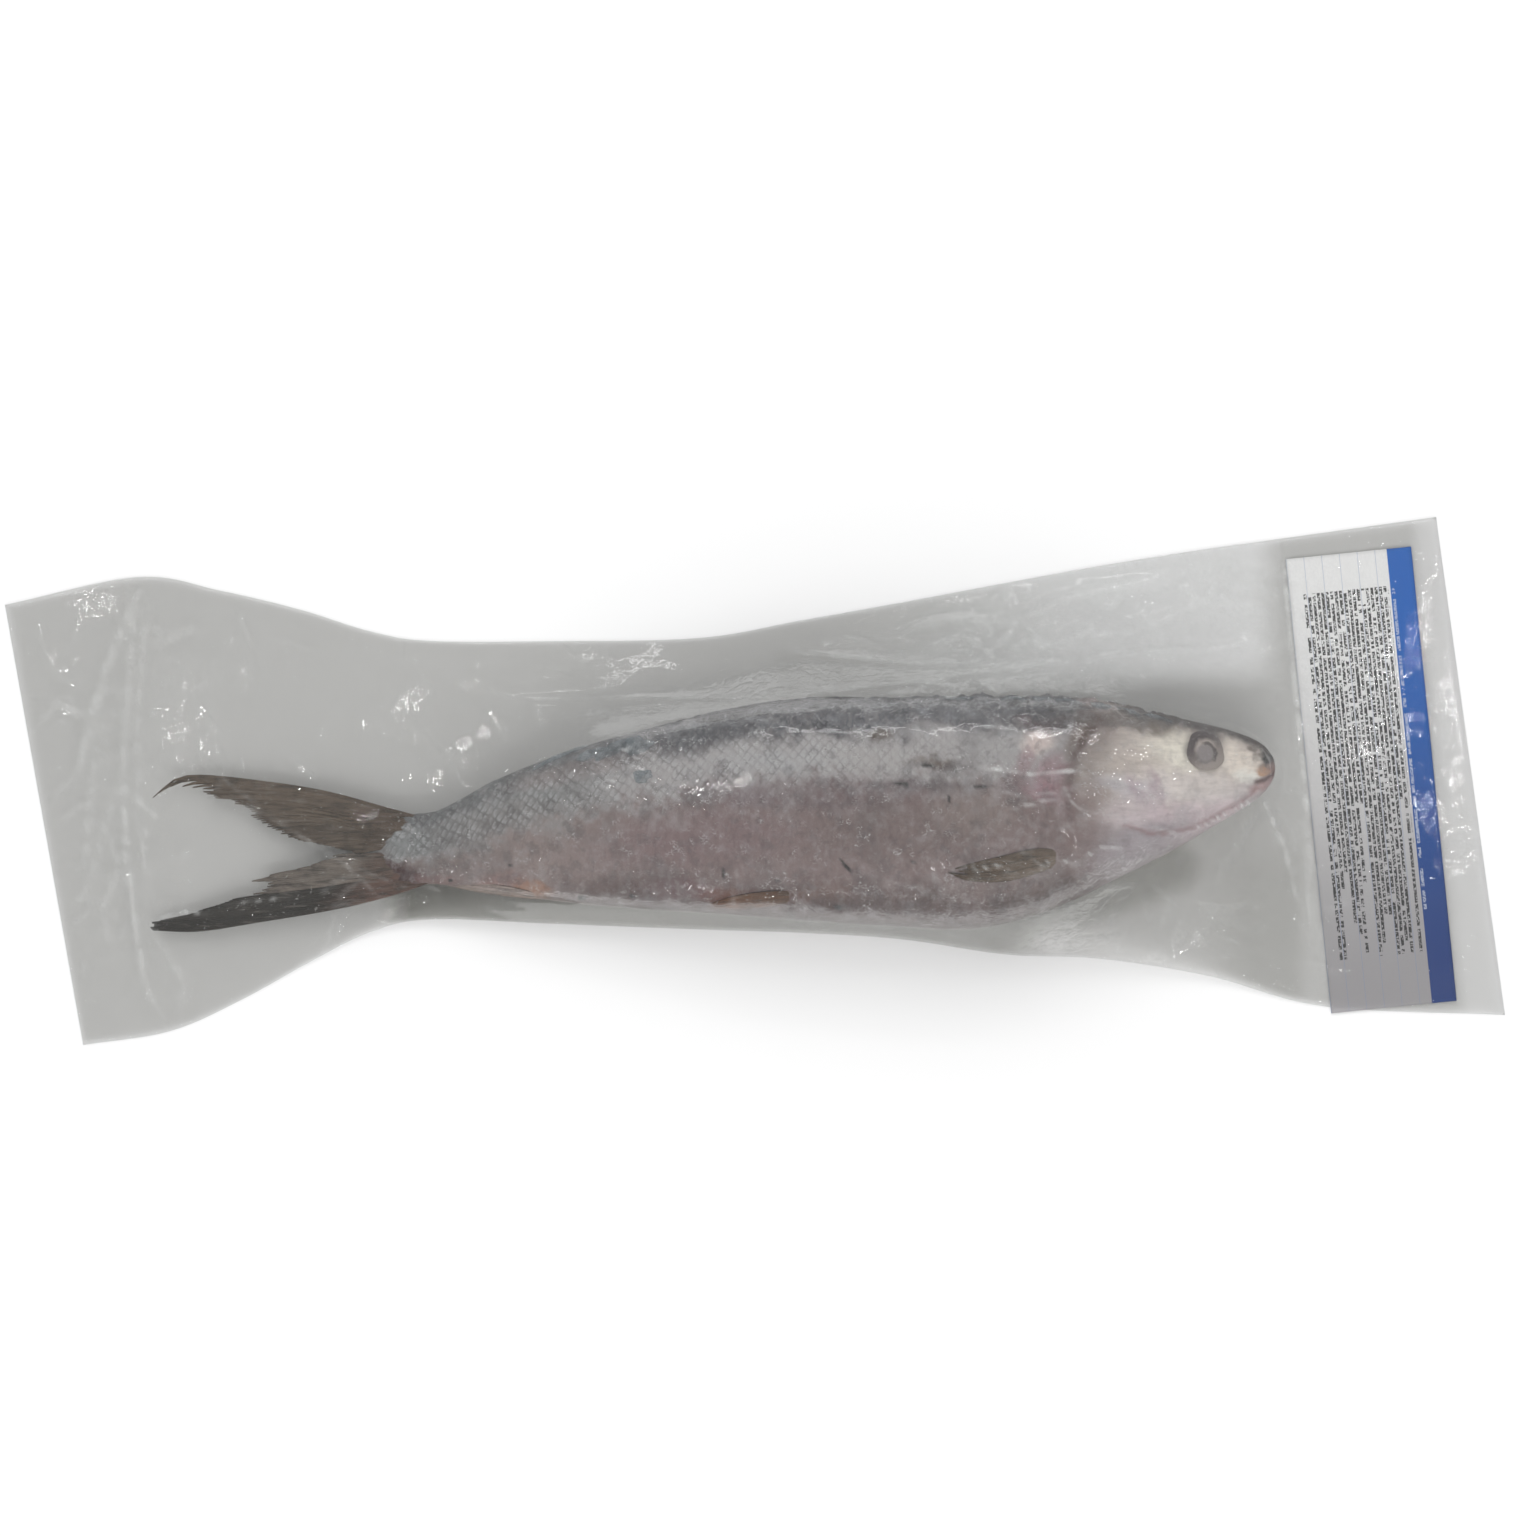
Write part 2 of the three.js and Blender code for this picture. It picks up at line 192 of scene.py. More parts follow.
def distance_to_path(x, y, path):
    """How far each point is from a line of straight stretches, and its share of the way along it."""
    path = np.array(path, float)
    lengths = np.hypot(*(path[1:] - path[:-1]).T)
    best = np.full(np.shape(x), 1e9)
    along = np.zeros(np.shape(x))
    done = 0.0
    for (ax, ay), (bx, by), length in zip(path[:-1], path[1:], lengths):
        share = np.clip(((x - ax) * (bx - ax) + (y - ay) * (by - ay)) / length**2, 0, 1)
        distance = np.hypot(x - ax - share * (bx - ax), y - ay - share * (by - ay))
        nearer = distance < best
        best = np.where(nearer, distance, best)
        along = np.where(nearer, (done + share * length) / lengths.sum(), along)
        done += length
    return best, along


def noise_field(x, y, size, layers=3, seed=0.0):
    """Smooth noise about 0 over flat arrays of points. size is the width of its largest lumps."""
    return np.array([
        noise.fractal(Vector((a / size, b / size, seed)), 0.9, 2.1, layers, noise_basis="PERLIN_ORIGINAL")
        for a, b in zip(np.ravel(x), np.ravel(y))
    ]).reshape(np.shape(x))


def linear(red, green, blue):
    """A colour given as it looks on a screen, from 0 to 255, as the shader's own numbers."""
    shares = np.array((red, green, blue)) / 255
    return np.where(shares <= 0.04045, shares / 12.92, ((shares + 0.055) / 1.055) ** 2.4)


VEIL = 0.045  # light that the film adds
VEIL_GAIN = 0.76  # the share of the fish's own colour that comes back through the film


def under_film(red, green, blue):
    """The colour that a surface needs so that it looks like this one through the film."""
    wanted = linear(red, green, blue)
    return np.clip((wanted - VEIL) / VEIL_GAIN, 0.25 * wanted, 0.9)


# ---------------------------------------------------------------- meshes


def finish_mesh(bm, name, material, smooth=True):
    """Turns a bmesh in millimetres into an object in metres, at the origin."""
    bmesh.ops.scale(bm, vec=(MM, MM, MM), verts=bm.verts)
    mesh = bpy.data.meshes.new(name)
    bm.to_mesh(mesh)
    bm.free()
    for face in mesh.polygons:
        face.use_smooth = smooth
    mesh.materials.append(material)
    piece = bpy.data.objects.new(name, mesh)
    bpy.context.scene.collection.objects.link(piece)
    return piece


def set_uvs(bm, u, v):
    """Sets the UV map from arrays with a value for each point."""
    bm.verts.index_update()
    uv = bm.loops.layers.uv["UVMap"]
    for face in bm.faces:
        for loop in face.loops:
            loop[uv].uv = (u[loop.vert.index], v[loop.vert.index])


def sheet_grid(columns, rows):
    """A flat grid with a UV map, and its points' shares along and across, from 0 to 1."""
    bm = bmesh.new()
    bm.loops.layers.uv.new("UVMap")
    bmesh.ops.create_grid(bm, x_segments=columns, y_segments=rows, size=0.5, calc_uvs=False)
    bm.verts.ensure_lookup_table()
    shares = np.array([(v.co.x + 0.5, v.co.y + 0.5) for v in bm.verts])
    set_uvs(bm, shares[:, 0], shares[:, 1])
    return bm, shares


def place_points(bm, x, y, z):
    for vert, a, b, c in zip(bm.verts, np.ravel(x), np.ravel(y), np.ravel(z)):
        vert.co = (a, b, c)


def paint(piece, name, values):
    """Stores a number or a colour for each point of a piece, for its material to read."""
    values = np.asarray(values, np.float32)
    if values.ndim == 1:
        layer = piece.data.attributes.new(name, "FLOAT", "POINT")
        layer.data.foreach_set("value", values)
        return
    layer = piece.data.color_attributes.new(name, "FLOAT_COLOR", "POINT")
    with_alpha = np.column_stack([values, np.ones(len(values))]).astype(np.float32)
    layer.data.foreach_set("color", with_alpha.ravel())


def hand_over(piece, slot, *nodes):
    """Says what a finished piece rides on, its finish, and the nodes that it stands for."""
    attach(piece, BODY)
    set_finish(piece, slot)
    if nodes:
        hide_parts(*nodes)
    return piece


# ---------------------------------------------------------------- node materials


class Nodes:
    """Short calls that add shader nodes to a material."""

    def __init__(self, name):
        self.material = bpy.data.materials.new(name)
        self.material.use_nodes = True
        self.tree = self.material.node_tree
        self.tree.nodes.clear()
        self.output = self.add("ShaderNodeOutputMaterial")

    def add(self, kind, **settings):
        node = self.tree.nodes.new(kind)
        for key, value in settings.items():
            setattr(node, key, value)
        return node

    def join(self, source, target):
        if isinstance(source, bpy.types.NodeSocket):
            self.tree.links.new(source, target)
        else:
            target.default_value = source
        return target

    def math(self, operation, *values, clamp=False):
        node = self.add("ShaderNodeMath", operation=operation, use_clamp=clamp)
        for socket, value in zip(node.inputs, values):
            self.join(value, socket)
        return node.outputs[0]

    def times(self, first, second, clamp=False):
        return self.math("MULTIPLY", first, second, clamp=clamp)

    def plus(self, first, second):
        return self.math("ADD", first, second)

    def minus(self, first, second):
        return self.math("SUBTRACT", first, second)

    def between(self, value, low, high):
        """1 where value is between low and high, and 0 elsewhere."""
        return self.times(self.math("GREATER_THAN", value, low), self.math("LESS_THAN", value, high))

    def ramp(self, value, low, high, to_low=0.0, to_high=1.0):
        """value mapped smoothly from low..high to to_low..to_high."""
        node = self.add("ShaderNodeMapRange", interpolation_type="SMOOTHSTEP")
        for socket, given in zip(node.inputs, (value, low, high, to_low, to_high)):
            self.join(given, socket)
        return node.outputs[0]

    def join_colour(self, source, target):
        """Joins a colour's socket, or sets a colour given as three numbers."""
        self.join(source if isinstance(source, bpy.types.NodeSocket) else (*source, 1), target)

    def mix(self, factor, first, second):
        node = self.add("ShaderNodeMix", data_type="RGBA")
        self.join(factor, node.inputs[0])
        self.join_colour(first, node.inputs[6])
        self.join_colour(second, node.inputs[7])
        return node.outputs[2]

    def attribute(self, name, output="Fac"):
        return self.add("ShaderNodeAttribute", attribute_name=name).outputs[output]

    def place(self):
        return self.add("ShaderNodeTexCoord").outputs["Object"]

    def uv(self):
        split = self.add("ShaderNodeSeparateXYZ")
        self.join(self.add("ShaderNodeTexCoord").outputs["UV"], split.inputs[0])
        return split.outputs[0], split.outputs[1]

    def stretched(self, source, scale):
        node = self.add("ShaderNodeMapping")
        self.join(source, node.inputs["Vector"])
        node.inputs["Scale"].default_value = scale
        return node.outputs[0]

    def warped(self, source, scale, reach):
        """source moved about by noise, by up to half of reach each way."""
        node = self.add("ShaderNodeTexNoise")
        self.join(source, node.inputs["Vector"])
        node.inputs["Scale"].default_value = scale
        centred = self.add("ShaderNodeVectorMath", operation="SUBTRACT")
        self.join(node.outputs["Color"], centred.inputs[0])
        centred.inputs[1].default_value = (0.5, 0.5, 0.5)
        moved = self.add("ShaderNodeVectorMath", operation="MULTIPLY_ADD")
        self.join(centred.outputs[0], moved.inputs[0])
        moved.inputs[1].default_value = (reach, reach, reach)
        self.join(source, moved.inputs[2])
        return moved.outputs[0]

    def noise(self, source, scale, detail=2.0, roughness=0.5):
        node = self.add("ShaderNodeTexNoise")
        self.join(source, node.inputs["Vector"])
        node.inputs["Scale"].default_value = scale
        node.inputs["Detail"].default_value = detail
        node.inputs["Roughness"].default_value = roughness
        return node.outputs[0]

    def cell_edges(self, source, scale):
        """The distance to the nearest edge between irregular cells."""
        node = self.add("ShaderNodeTexVoronoi", feature="DISTANCE_TO_EDGE")
        self.join(source, node.inputs["Vector"])
        node.inputs["Scale"].default_value = scale
        return node.outputs["Distance"]

    def bump(self, height, strength, distance, onto=None):
        node = self.add("ShaderNodeBump")
        node.inputs["Strength"].default_value = strength
        node.inputs["Distance"].default_value = distance
        self.join(height, node.inputs["Height"])
        if onto is not None:
            self.join(onto, node.inputs["Normal"])
        return node.outputs[0]

    def principled(self, colour, roughness, normal=None, **fixed):
        node = self.add("ShaderNodeBsdfPrincipled")
        self.join_colour(colour, node.inputs["Base Color"])
        self.join(roughness, node.inputs["Roughness"])
        if normal is not None:
            self.join(normal, node.inputs["Normal"])
        for key, value in fixed.items():
            node.inputs[key.replace("_", " ")].default_value = value
        return node.outputs[0]

    def shade(self, shader):
        self.join(shader, self.output.inputs["Surface"])
        return self.material


def scale_edge(n, along, across):
    """How far a point is from the free edge of its scale: 0 at that edge, rising towards the head."""
    candidates = []
    for shift in (0.0, 0.5):
        beside = n.minus(across, shift)
        offset = n.minus(beside, n.math("ROUND", beside))
        side = n.math("POWER", n.times(n.math("ABSOLUTE", offset), 2.0), SCALE_ROUNDING)
        reach = n.minus(SCALE_TIP, n.times(side, SCALE_FLARE))
        edge = n.math("FRACT", n.plus(n.minus(along, shift), reach))
        candidates.append((edge, n.minus(reach, edge)))
    (edge_a, front_a), (edge_b, front_b) = candidates
    choose_a = n.math("GREATER_THAN", front_a, front_b)
    part_a = n.times(edge_a, choose_a)
    part_b = n.times(edge_b, n.minus(1.0, choose_a))
    return n.plus(part_a, part_b)


def scale_height(along, across):
    """The same pattern for the mesh: how high a scale stands at each point, from 0 to 1."""
    fronts = []
    for shift in (0.0, 0.5):
        offset = (across - shift) - np.round(across - shift)
        reach = SCALE_TIP - SCALE_FLARE * np.abs(2 * offset) ** SCALE_ROUNDING
        edge = (along - shift + reach) % 1.0
        fronts.append((edge, reach - edge))
    edge = np.where(fronts[0][1] > fronts[1][1], fronts[0][0], fronts[1][0])
    return 1 - edge


def skin_material():
    n = Nodes("frozen_skin")
    place = n.place()
    along, across = n.uv()
    uneven = n.times(n.minus(n.noise(place, 150.0, 3.0, 0.6), 0.5), 0.9)
    edge = scale_edge(n, n.plus(along, uneven), n.minus(across, n.times(uneven, 0.6)))
    scaled = n.attribute("scaled")
    tone = n.attribute("tone", "Color")
    frost = n.attribute("frost")

    # Each scale gets a painted highlight in its middle, and painted shade along its free edge and where the
    # next one overlaps it.
    rim = n.minus(1.0, n.ramp(edge, 0.0, 0.34))
    root = n.times(n.ramp(edge, 0.42, 1.0), 0.8)
    plate = n.ramp(n.noise(place, 150.0, 3.0, 0.7), 0.36, 0.62, 0.10, 1.0)
    shadow = n.times(n.times(n.math("MAXIMUM", rim, root), plate), scaled)
    painted_highlight = n.times(n.ramp(edge, 0.12, 0.34), n.minus(1.0, n.ramp(edge, 0.4, 0.8)))
    painted_highlight = n.times(n.times(painted_highlight, plate), scaled)
    colour = n.mix(n.times(shadow, 0.46), tone, (0.070, 0.073, 0.078))
    colour = n.mix(n.times(painted_highlight, 0.46), colour, (0.46, 0.475, 0.485))

    # Upright streaks and soft blotches break up the flank.
    streaks = n.noise(n.warped(n.stretched(place, (330.0, 95.0, 95.0)), 1.2, 0.8), 1.0, 4.0, 0.62)
    mottle = n.noise(place, 120.0, 4.0, 0.65)
    blotch = n.noise(place, 34.0, 3.0, 0.6)
    split = n.add("ShaderNodeSeparateXYZ")
    n.join(place, split.inputs[0])
    trunk = n.ramp(split.outputs[0], 0.150, 0.128)
    plain = n.times(n.minus(1.0, n.times(scaled, 0.6)), trunk)
    head_grain = n.noise(n.stretched(place, (120.0, 560.0, 300.0)), 1.0, 4.0, 0.6)
    head_part = n.minus(1.0, trunk)
    calm = n.plus(0.4, n.times(trunk, 0.6))
    pale_streaks = n.times(n.ramp(streaks, 0.48, 0.68), n.times(plain, 0.15))
    dark_streaks = n.times(n.ramp(streaks, 0.48, 0.34), n.times(plain, 0.18))
    colour = n.mix(pale_streaks, colour, (0.34, 0.315, 0.315))
    colour = n.mix(dark_streaks, colour, (0.06, 0.048, 0.048))
    colour = n.mix(n.times(n.ramp(head_grain, 0.42, 0.66, 0.0, 0.16), head_part), colour, (0.16, 0.14, 0.13))
    colour = n.mix(n.times(n.ramp(mottle, 0.50, 0.36, 0.0, 0.34), calm), colour, (0.07, 0.06, 0.065))
    colour = n.mix(n.ramp(mottle, 0.52, 0.68, 0.0, 0.30), colour, (0.34, 0.32, 0.32))
    colour = n.mix(n.times(n.ramp(blotch, 0.50, 0.64, 0.0, 0.26), calm), colour, (0.10, 0.088, 0.09))

    # Fine ice: small bright scratches in drifts, and rime where the back dried.
    scratches = n.cell_edges(n.warped(n.stretched(place, (520.0, 760.0, 520.0)), 0.9, 1.6), 1.0)
    drifts = n.ramp(n.noise(place, 74.0, 3.0, 0.6), 0.50, 0.64)
    thin = n.times(n.ramp(scratches, 0.055, 0.015), n.ramp(n.noise(place, 300.0, 2.0), 0.50, 0.62))
    specks = n.times(thin, n.plus(0.20, drifts), clamp=True)
    rime = n.times(n.ramp(n.noise(place, 170.0, 5.0, 0.72), 0.47, 0.68), frost)
    colour = n.mix(n.times(rime, 0.42), colour, (0.42, 0.44, 0.47))
    colour = n.mix(n.times(specks, 0.55), colour, (0.80, 0.80, 0.80))
    white = n.math("MAXIMUM", specks, n.times(rime, 0.6))
    roughness = n.plus(0.40, n.times(white, 0.3))

    lift = n.times(n.minus(1.0, edge), scaled)
    normal = n.bump(lift, 0.8, 0.0005)
    normal = n.bump(n.noise(place, 480.0, 4.0, 0.6), 0.30, 0.0003, normal)
    normal = n.bump(white, 0.6, 0.0003, normal)
    shader = n.principled(colour, roughness, normal, Coat_Weight=0.12, Coat_Roughness=0.25)
    return n.shade(shader)


def fin_material(name, dark, light, seam):
    """Fin skin: fine rays across the UV map, darker between them, under a little frost."""
    n = Nodes(name)
    place = n.place()
    across = n.uv()[1]
    tone = n.attribute("tone", "Color")
    ray = n.math("ABSOLUTE", n.minus(n.math("FRACT", n.times(across, 3.0)), 0.5))
    streak = n.noise(n.warped(n.stretched(place, (80.0, 620.0, 80.0)), 0.8, 0.7), 1.0, 4.0, 0.65)
    blotch = n.noise(place, 110.0, 5.0, 0.68)
    colour = n.mix(n.ramp(streak, 0.52, 0.70, 0.0, 0.5), tone, light)
    colour = n.mix(n.ramp(streak, 0.50, 0.34, 0.0, 0.6), colour, dark)
    colour = n.mix(n.ramp(ray, 0.30, 0.5, 0.0, 0.35), colour, seam)
    colour = n.mix(n.ramp(blotch, 0.50, 0.68, 0.0, 0.5), colour, dark)
    frost = n.times(n.ramp(n.noise(place, 640.0, 2.0), 0.62, 0.72), n.ramp(blotch, 0.50, 0.42))
    colour = n.mix(n.times(frost, 0.4), colour, (0.6, 0.6, 0.58))
    normal = n.bump(ray, 0.5, 0.0003)
    normal = n.bump(streak, 0.5, 0.0004, normal)
    return n.shade(n.principled(colour, 0.5, normal, Coat_Weight=0.06, Coat_Roughness=0.35))


def eye_material():
    """A clouded eye: a soft grey ring, a paler middle, and a dark crescent on its snout side."""
    n = Nodes("clouded_eye")
    place = n.place()
    split = n.add("ShaderNodeSeparateXYZ")
    n.join(place, split.inputs[0])
    x = n.minus(split.outputs[0], EYE_X * MM)
    y = n.minus(split.outputs[1], EYE_Y * MM)
    wobble = n.times(n.minus(n.noise(place, 260.0, 4.0, 0.6), 0.5), 0.0030)

    def distance_from(shift_x, shift_y):
        a = n.minus(x, shift_x)
        b = n.minus(y, shift_y)
        length = n.math("SQRT", n.plus(n.times(a, a), n.times(b, b)))
        return n.plus(length, wobble)

    from_middle = distance_from(0.0, 0.0)
    from_pupil = distance_from(-0.0002, -0.0018)
    ring = n.ramp(from_middle, 0.0036, 0.0062)
    above = n.ramp(n.minus(n.times(y, 0.8), n.times(x, 0.6)), -0.009, 0.006, 0.30, 1.0)
    colour = n.mix(n.ramp(from_pupil, 0.0036, 0.0052), under_film(138, 133, 133), under_film(168, 160, 155))
    colour = n.mix(n.times(ring, above), colour, under_film(*EYE_RING_TONE))
    from_crescent = n.math("ABSOLUTE", n.minus(from_pupil, 0.0048))
    snout_side = n.ramp(n.plus(x, n.times(y, 0.65)), -0.0012, 0.0024)
    crescent = n.times(n.ramp(from_crescent, 0.0013, 0.0003), snout_side)
    colour = n.mix(n.times(crescent, 0.75), colour, under_film(76, 72, 74))
    colour = n.mix(n.ramp(n.noise(place, 700.0, 3.0), 0.55, 0.75, 0.0, 0.3), colour, (0.5, 0.49, 0.48))
    normal = n.bump(n.noise(place, 420.0, 3.0), 0.25, 0.0003)
    return n.shade(n.principled(colour, 0.36, normal, Coat_Weight=0.25, Coat_Roughness=0.18))


def film_material(name, tint, haze):
    """Clear film: light comes through its tint, which carries painted shade in places, with a thin haze and a
    white layer along folds that is partly their own whitening and partly painted glints; creases glint.
    """
    n = Nodes(name)
    place = n.place()
    whitening_and_glint = n.attribute("whitening_and_glint")
    tint_and_painted_light = n.attribute("tint_and_painted_light")
    crinkled = n.attribute("crinkled")
    smear = n.noise(place, 30.0, 4.0, 0.6)
    clear = n.add("ShaderNodeBsdfTransparent")
    n.join(n.mix(tint_and_painted_light, (0.995, 0.995, 0.995), tint), clear.inputs[0])
    haze_whitening_and_glint = n.add("ShaderNodeBsdfDiffuse")
    haze_whitening_and_glint.inputs[0].default_value = (0.80, 0.81, 0.80, 1)
    fine = n.noise(place, 420.0, 2.0, 0.55)
    broad = n.noise(place, 165.0, 3.0, 0.55)
    cells = n.cell_edges(n.warped(place, 60.0, 0.016), 125.0)
    crease = n.times(n.ramp(cells, 0.10, 0.0), n.ramp(smear, 0.48, 0.62))
    height = n.plus(n.times(broad, 0.5), n.times(crease, 0.16))
    height = n.plus(height, n.times(fine, 0.10))
    small_cells = n.cell_edges(n.warped(place, 130.0, 0.011), 260.0)
    crinkle = n.times(n.ramp(small_cells, 0.16, 0.0), crinkled)
    height = n.plus(height, n.times(crinkle, 0.75))
    normal = n.bump(height, 0.5, 0.001)
    n.join(normal, haze_whitening_and_glint.inputs["Normal"])
    # The white layer: the film's haze, plus the fold whitening and painted glints stored on the film.
    amount = n.plus(haze, n.times(whitening_and_glint, 0.5))
    amount = n.times(amount, n.ramp(smear, 0.2, 0.8, 0.7, 1.3), clamp=True)
    body = n.add("ShaderNodeMixShader")
    n.join(amount, body.inputs[0])
    n.join(clear.outputs[0], body.inputs[1])
    n.join(haze_whitening_and_glint.outputs[0], body.inputs[2])
    gloss = n.add("ShaderNodeBsdfGlossy")
    gloss.inputs["Roughness"].default_value = 0.055
    n.join(normal, gloss.inputs["Normal"])
    fresnel = n.add("ShaderNodeFresnel")
    fresnel.inputs["IOR"].default_value = 1.43
    film = n.add("ShaderNodeMixShader")
    n.join(n.math("MINIMUM", fresnel.outputs[0], 0.22), film.inputs[0])
    n.join(body.outputs[0], film.inputs[1])
    n.join(gloss.outputs[0], film.inputs[2])
    return n.shade(film.outputs[0])


def ice_material():
    n = Nodes("clear_ice")
    place = n.place()
    clear = n.add("ShaderNodeBsdfTransparent")
    clear.inputs[0].default_value = (0.86, 0.89, 0.90, 1)
    normal = n.bump(n.noise(place, 380.0, 3.0), 0.8, 0.0008)
    solid = n.principled((0.34, 0.36, 0.38), 0.2, normal, Coat_Weight=0.3, Coat_Roughness=0.1)
    mixed = n.add("ShaderNodeMixShader")
    n.join(n.ramp(n.noise(place, 240.0, 3.0), 0.35, 0.7, 0.10, 0.50), mixed.inputs[0])
    n.join(clear.outputs[0], mixed.inputs[1])
    n.join(solid, mixed.inputs[2])
    return n.shade(mixed.outputs[0])


BAND_FROM = 46.6  # mm across the label, where its blue band starts
BAND_TO = 58.5
LINE_PITCH = 2.05
RULE_PITCH = 8.2


def label_material():
    """White paper with a blue band along one side, rows of plain marks with no text, and thin rules."""
    n = Nodes("label_paper")
    place = n.place()
    along, across = n.uv()
    row = n.math("DIVIDE", across, LINE_PITCH)
    line = n.math("FLOOR", row)
    within = n.math("FRACT", row)
    height = n.between(within, 0.16, 0.84)
    marks = n.add("ShaderNodeCombineXYZ")
    n.join(along, marks.inputs[0])
    n.join(n.times(line, 7.31), marks.inputs[1])
    n.join(n.times(n.math("FLOOR", n.times(within, 4.0)), 3.7), marks.inputs[2])
    dashes = n.math("GREATER_THAN", n.noise(marks.outputs[0], 1.25, 1.0), 0.44)
    words = n.add("ShaderNodeCombineXYZ")
    n.join(along, words.inputs[0])
    n.join(n.times(line, 5.13), words.inputs[1])
    spaced = n.math("GREATER_THAN", n.noise(words.outputs[0], 0.42, 1.0), 0.40)
    inset = n.between(along, 17.0, 186.0)
    ragged = n.noise(n.stretched(words.outputs[0], (0.0, 1.0, 0.0)), 1.0, 1.0)
    inset = n.times(inset, n.math("LESS_THAN", along, n.ramp(ragged, 0.35, 0.6, 110.0, 200.0)))
    block = n.between(across, 6.0, BAND_FROM - 1)
    ink = dashes
    for mask in (height, spaced, inset, block):
        ink = n.times(ink, mask)
    rule_place = n.math("FRACT", n.math("DIVIDE", across, RULE_PITCH))
    rule = n.times(n.math("LESS_THAN", rule_place, 0.03), n.math("LESS_THAN", across, BAND_FROM - 1))
    band = n.between(across, BAND_FROM, BAND_TO)
    grain = n.noise(place, 900.0, 3.0)
    shade = n.ramp(along, 20.0, 205.0)
    paper = n.mix(shade, under_film(222, 222, 230), under_film(152, 150, 152))
    paper = n.mix(n.ramp(grain, 0.3, 0.7, 0.0, 0.1), paper, (0.4, 0.4, 0.42))
    blue = n.mix(shade, under_film(44, 106, 176), under_film(22, 76, 122))
    colour = n.mix(n.times(rule, 0.5), paper, under_film(120, 140, 176))
    colour = n.mix(n.times(ink, 0.95), colour, under_film(58, 57, 62))
    colour = n.mix(band, colour, blue)
    caption_row = n.between(across, 47.2, 48.6)
    caption = n.times(n.times(caption_row, dashes), n.times(spaced, inset))
    colour = n.mix(n.times(caption, 0.6), colour, (0.7, 0.76, 0.84))
    normal = n.bump(grain, 0.2, 0.0001)
    return n.shade(n.principled(colour, 0.62, normal))


# ---------------------------------------------------------------- the fish's body


def section_at(x):
    back = read_curve(SECTIONS, 1, x)
    belly = read_curve(SECTIONS, 2, x)
    return (back + belly) / 2, (back - belly) / 2, read_curve(SECTIONS, 3, x), read_curve(SECTIONS, 4, x)


def flank_point(x, y, side, out=0.0):
    """The height of the body's surface at (x, y), above it or below it, and out from it."""
    middle_y, depth, width, middle_z = section_at(x)
    fullness = UPPER_FULLNESS if side > 0 else LOWER_FULLNESS
    across = np.clip(np.abs(y - middle_y) / depth, 0, 0.999)
    return middle_z + side * (width * (1 - across**fullness) ** (1 / fullness) + out)


GILL_EDGE = [(156, 27.5), (150, 20), (145.5, 11), (143, 0), (142, -12), (144, -24), (147, -33), (153, -39)]
JAW_EDGE = [(229, -3.5), (222, -9), (213, -14.5), (203, -19.5), (192, -23), (180, -23.5), (168, -20)]
MOUTH_EDGE = [(239.5, 5.2), (236.5, 2.4), (232.5, 0.4), (229, -0.4)]
CHEEK_SEAM = [(186, -9), (196, -12), (206, -12), (215, -8), (222, -3)]


def body_relief(x, y, side):
    """How far the skin stands out from the plain body, in millimetres, apart from its scales."""
    relief = np.zeros(np.shape(x))
    gill, _ = distance_to_path(x, y, GILL_EDGE)
    gill_xs, gill_ys = np.array(GILL_EDGE[::-1]).T
    gill_line = np.interp(y, gill_ys, gill_xs)
    over_gill = smoothstep(-0.6, 1.2, x - gill_line) * fall(6, 26, x - gill_line)
    in_gill = smoothstep(-44, -34, y) * fall(22, 30, y)
    relief += 0.8 * over_gill * in_gill
    relief -= 0.9 * np.exp(-((gill / 1.6) ** 2)) * np.interp(y, [-39, -20, 5, 15], [0.1, 0.12, 0.4, 0.8])
    for path, depth, width in ((JAW_EDGE, 0.5, 1.1), (MOUTH_EDGE, 1.5, 0.9), (CHEEK_SEAM, 0.3, 1.6)):
        distance, _ = distance_to_path(x, y, path)
        relief -= depth * np.exp(-((distance / width) ** 2))
    nostril = np.hypot(x - 224.5, y - 12.5)
    relief -= 0.8 * np.exp(-((nostril / 1.1) ** 2))
    dents = noise_field(x, y, 34.0, 2, 3.0 + side)
    relief += 0.55 * dents * smoothstep(-178, -120, x) * fall(205, 225, x)
    creases = 1 - np.abs(noise_field(x, y, 17.0, 2, 8.0 + side))
    throat = smoothstep(-48, -30, y) * fall(-14, -4, y) * smoothstep(150, 165, x) * fall(215, 228, x)
    relief += 0.6 * (creases - 0.8) * throat
    ridge = noise_field(x, y, 5.2, 3, 12.0 + side)
    along_back = smoothstep(0.80, 0.93, (y - section_at(x)[0]) / section_at(x)[1])
    lumps = np.interp(x, [-70, -30, 60, 95, 184, 200], [0, 0.8, 1.0, 2.4, 2.2, 0])
    relief += lumps * np.clip(ridge + 0.12, 0, 1) * along_back
    return relief


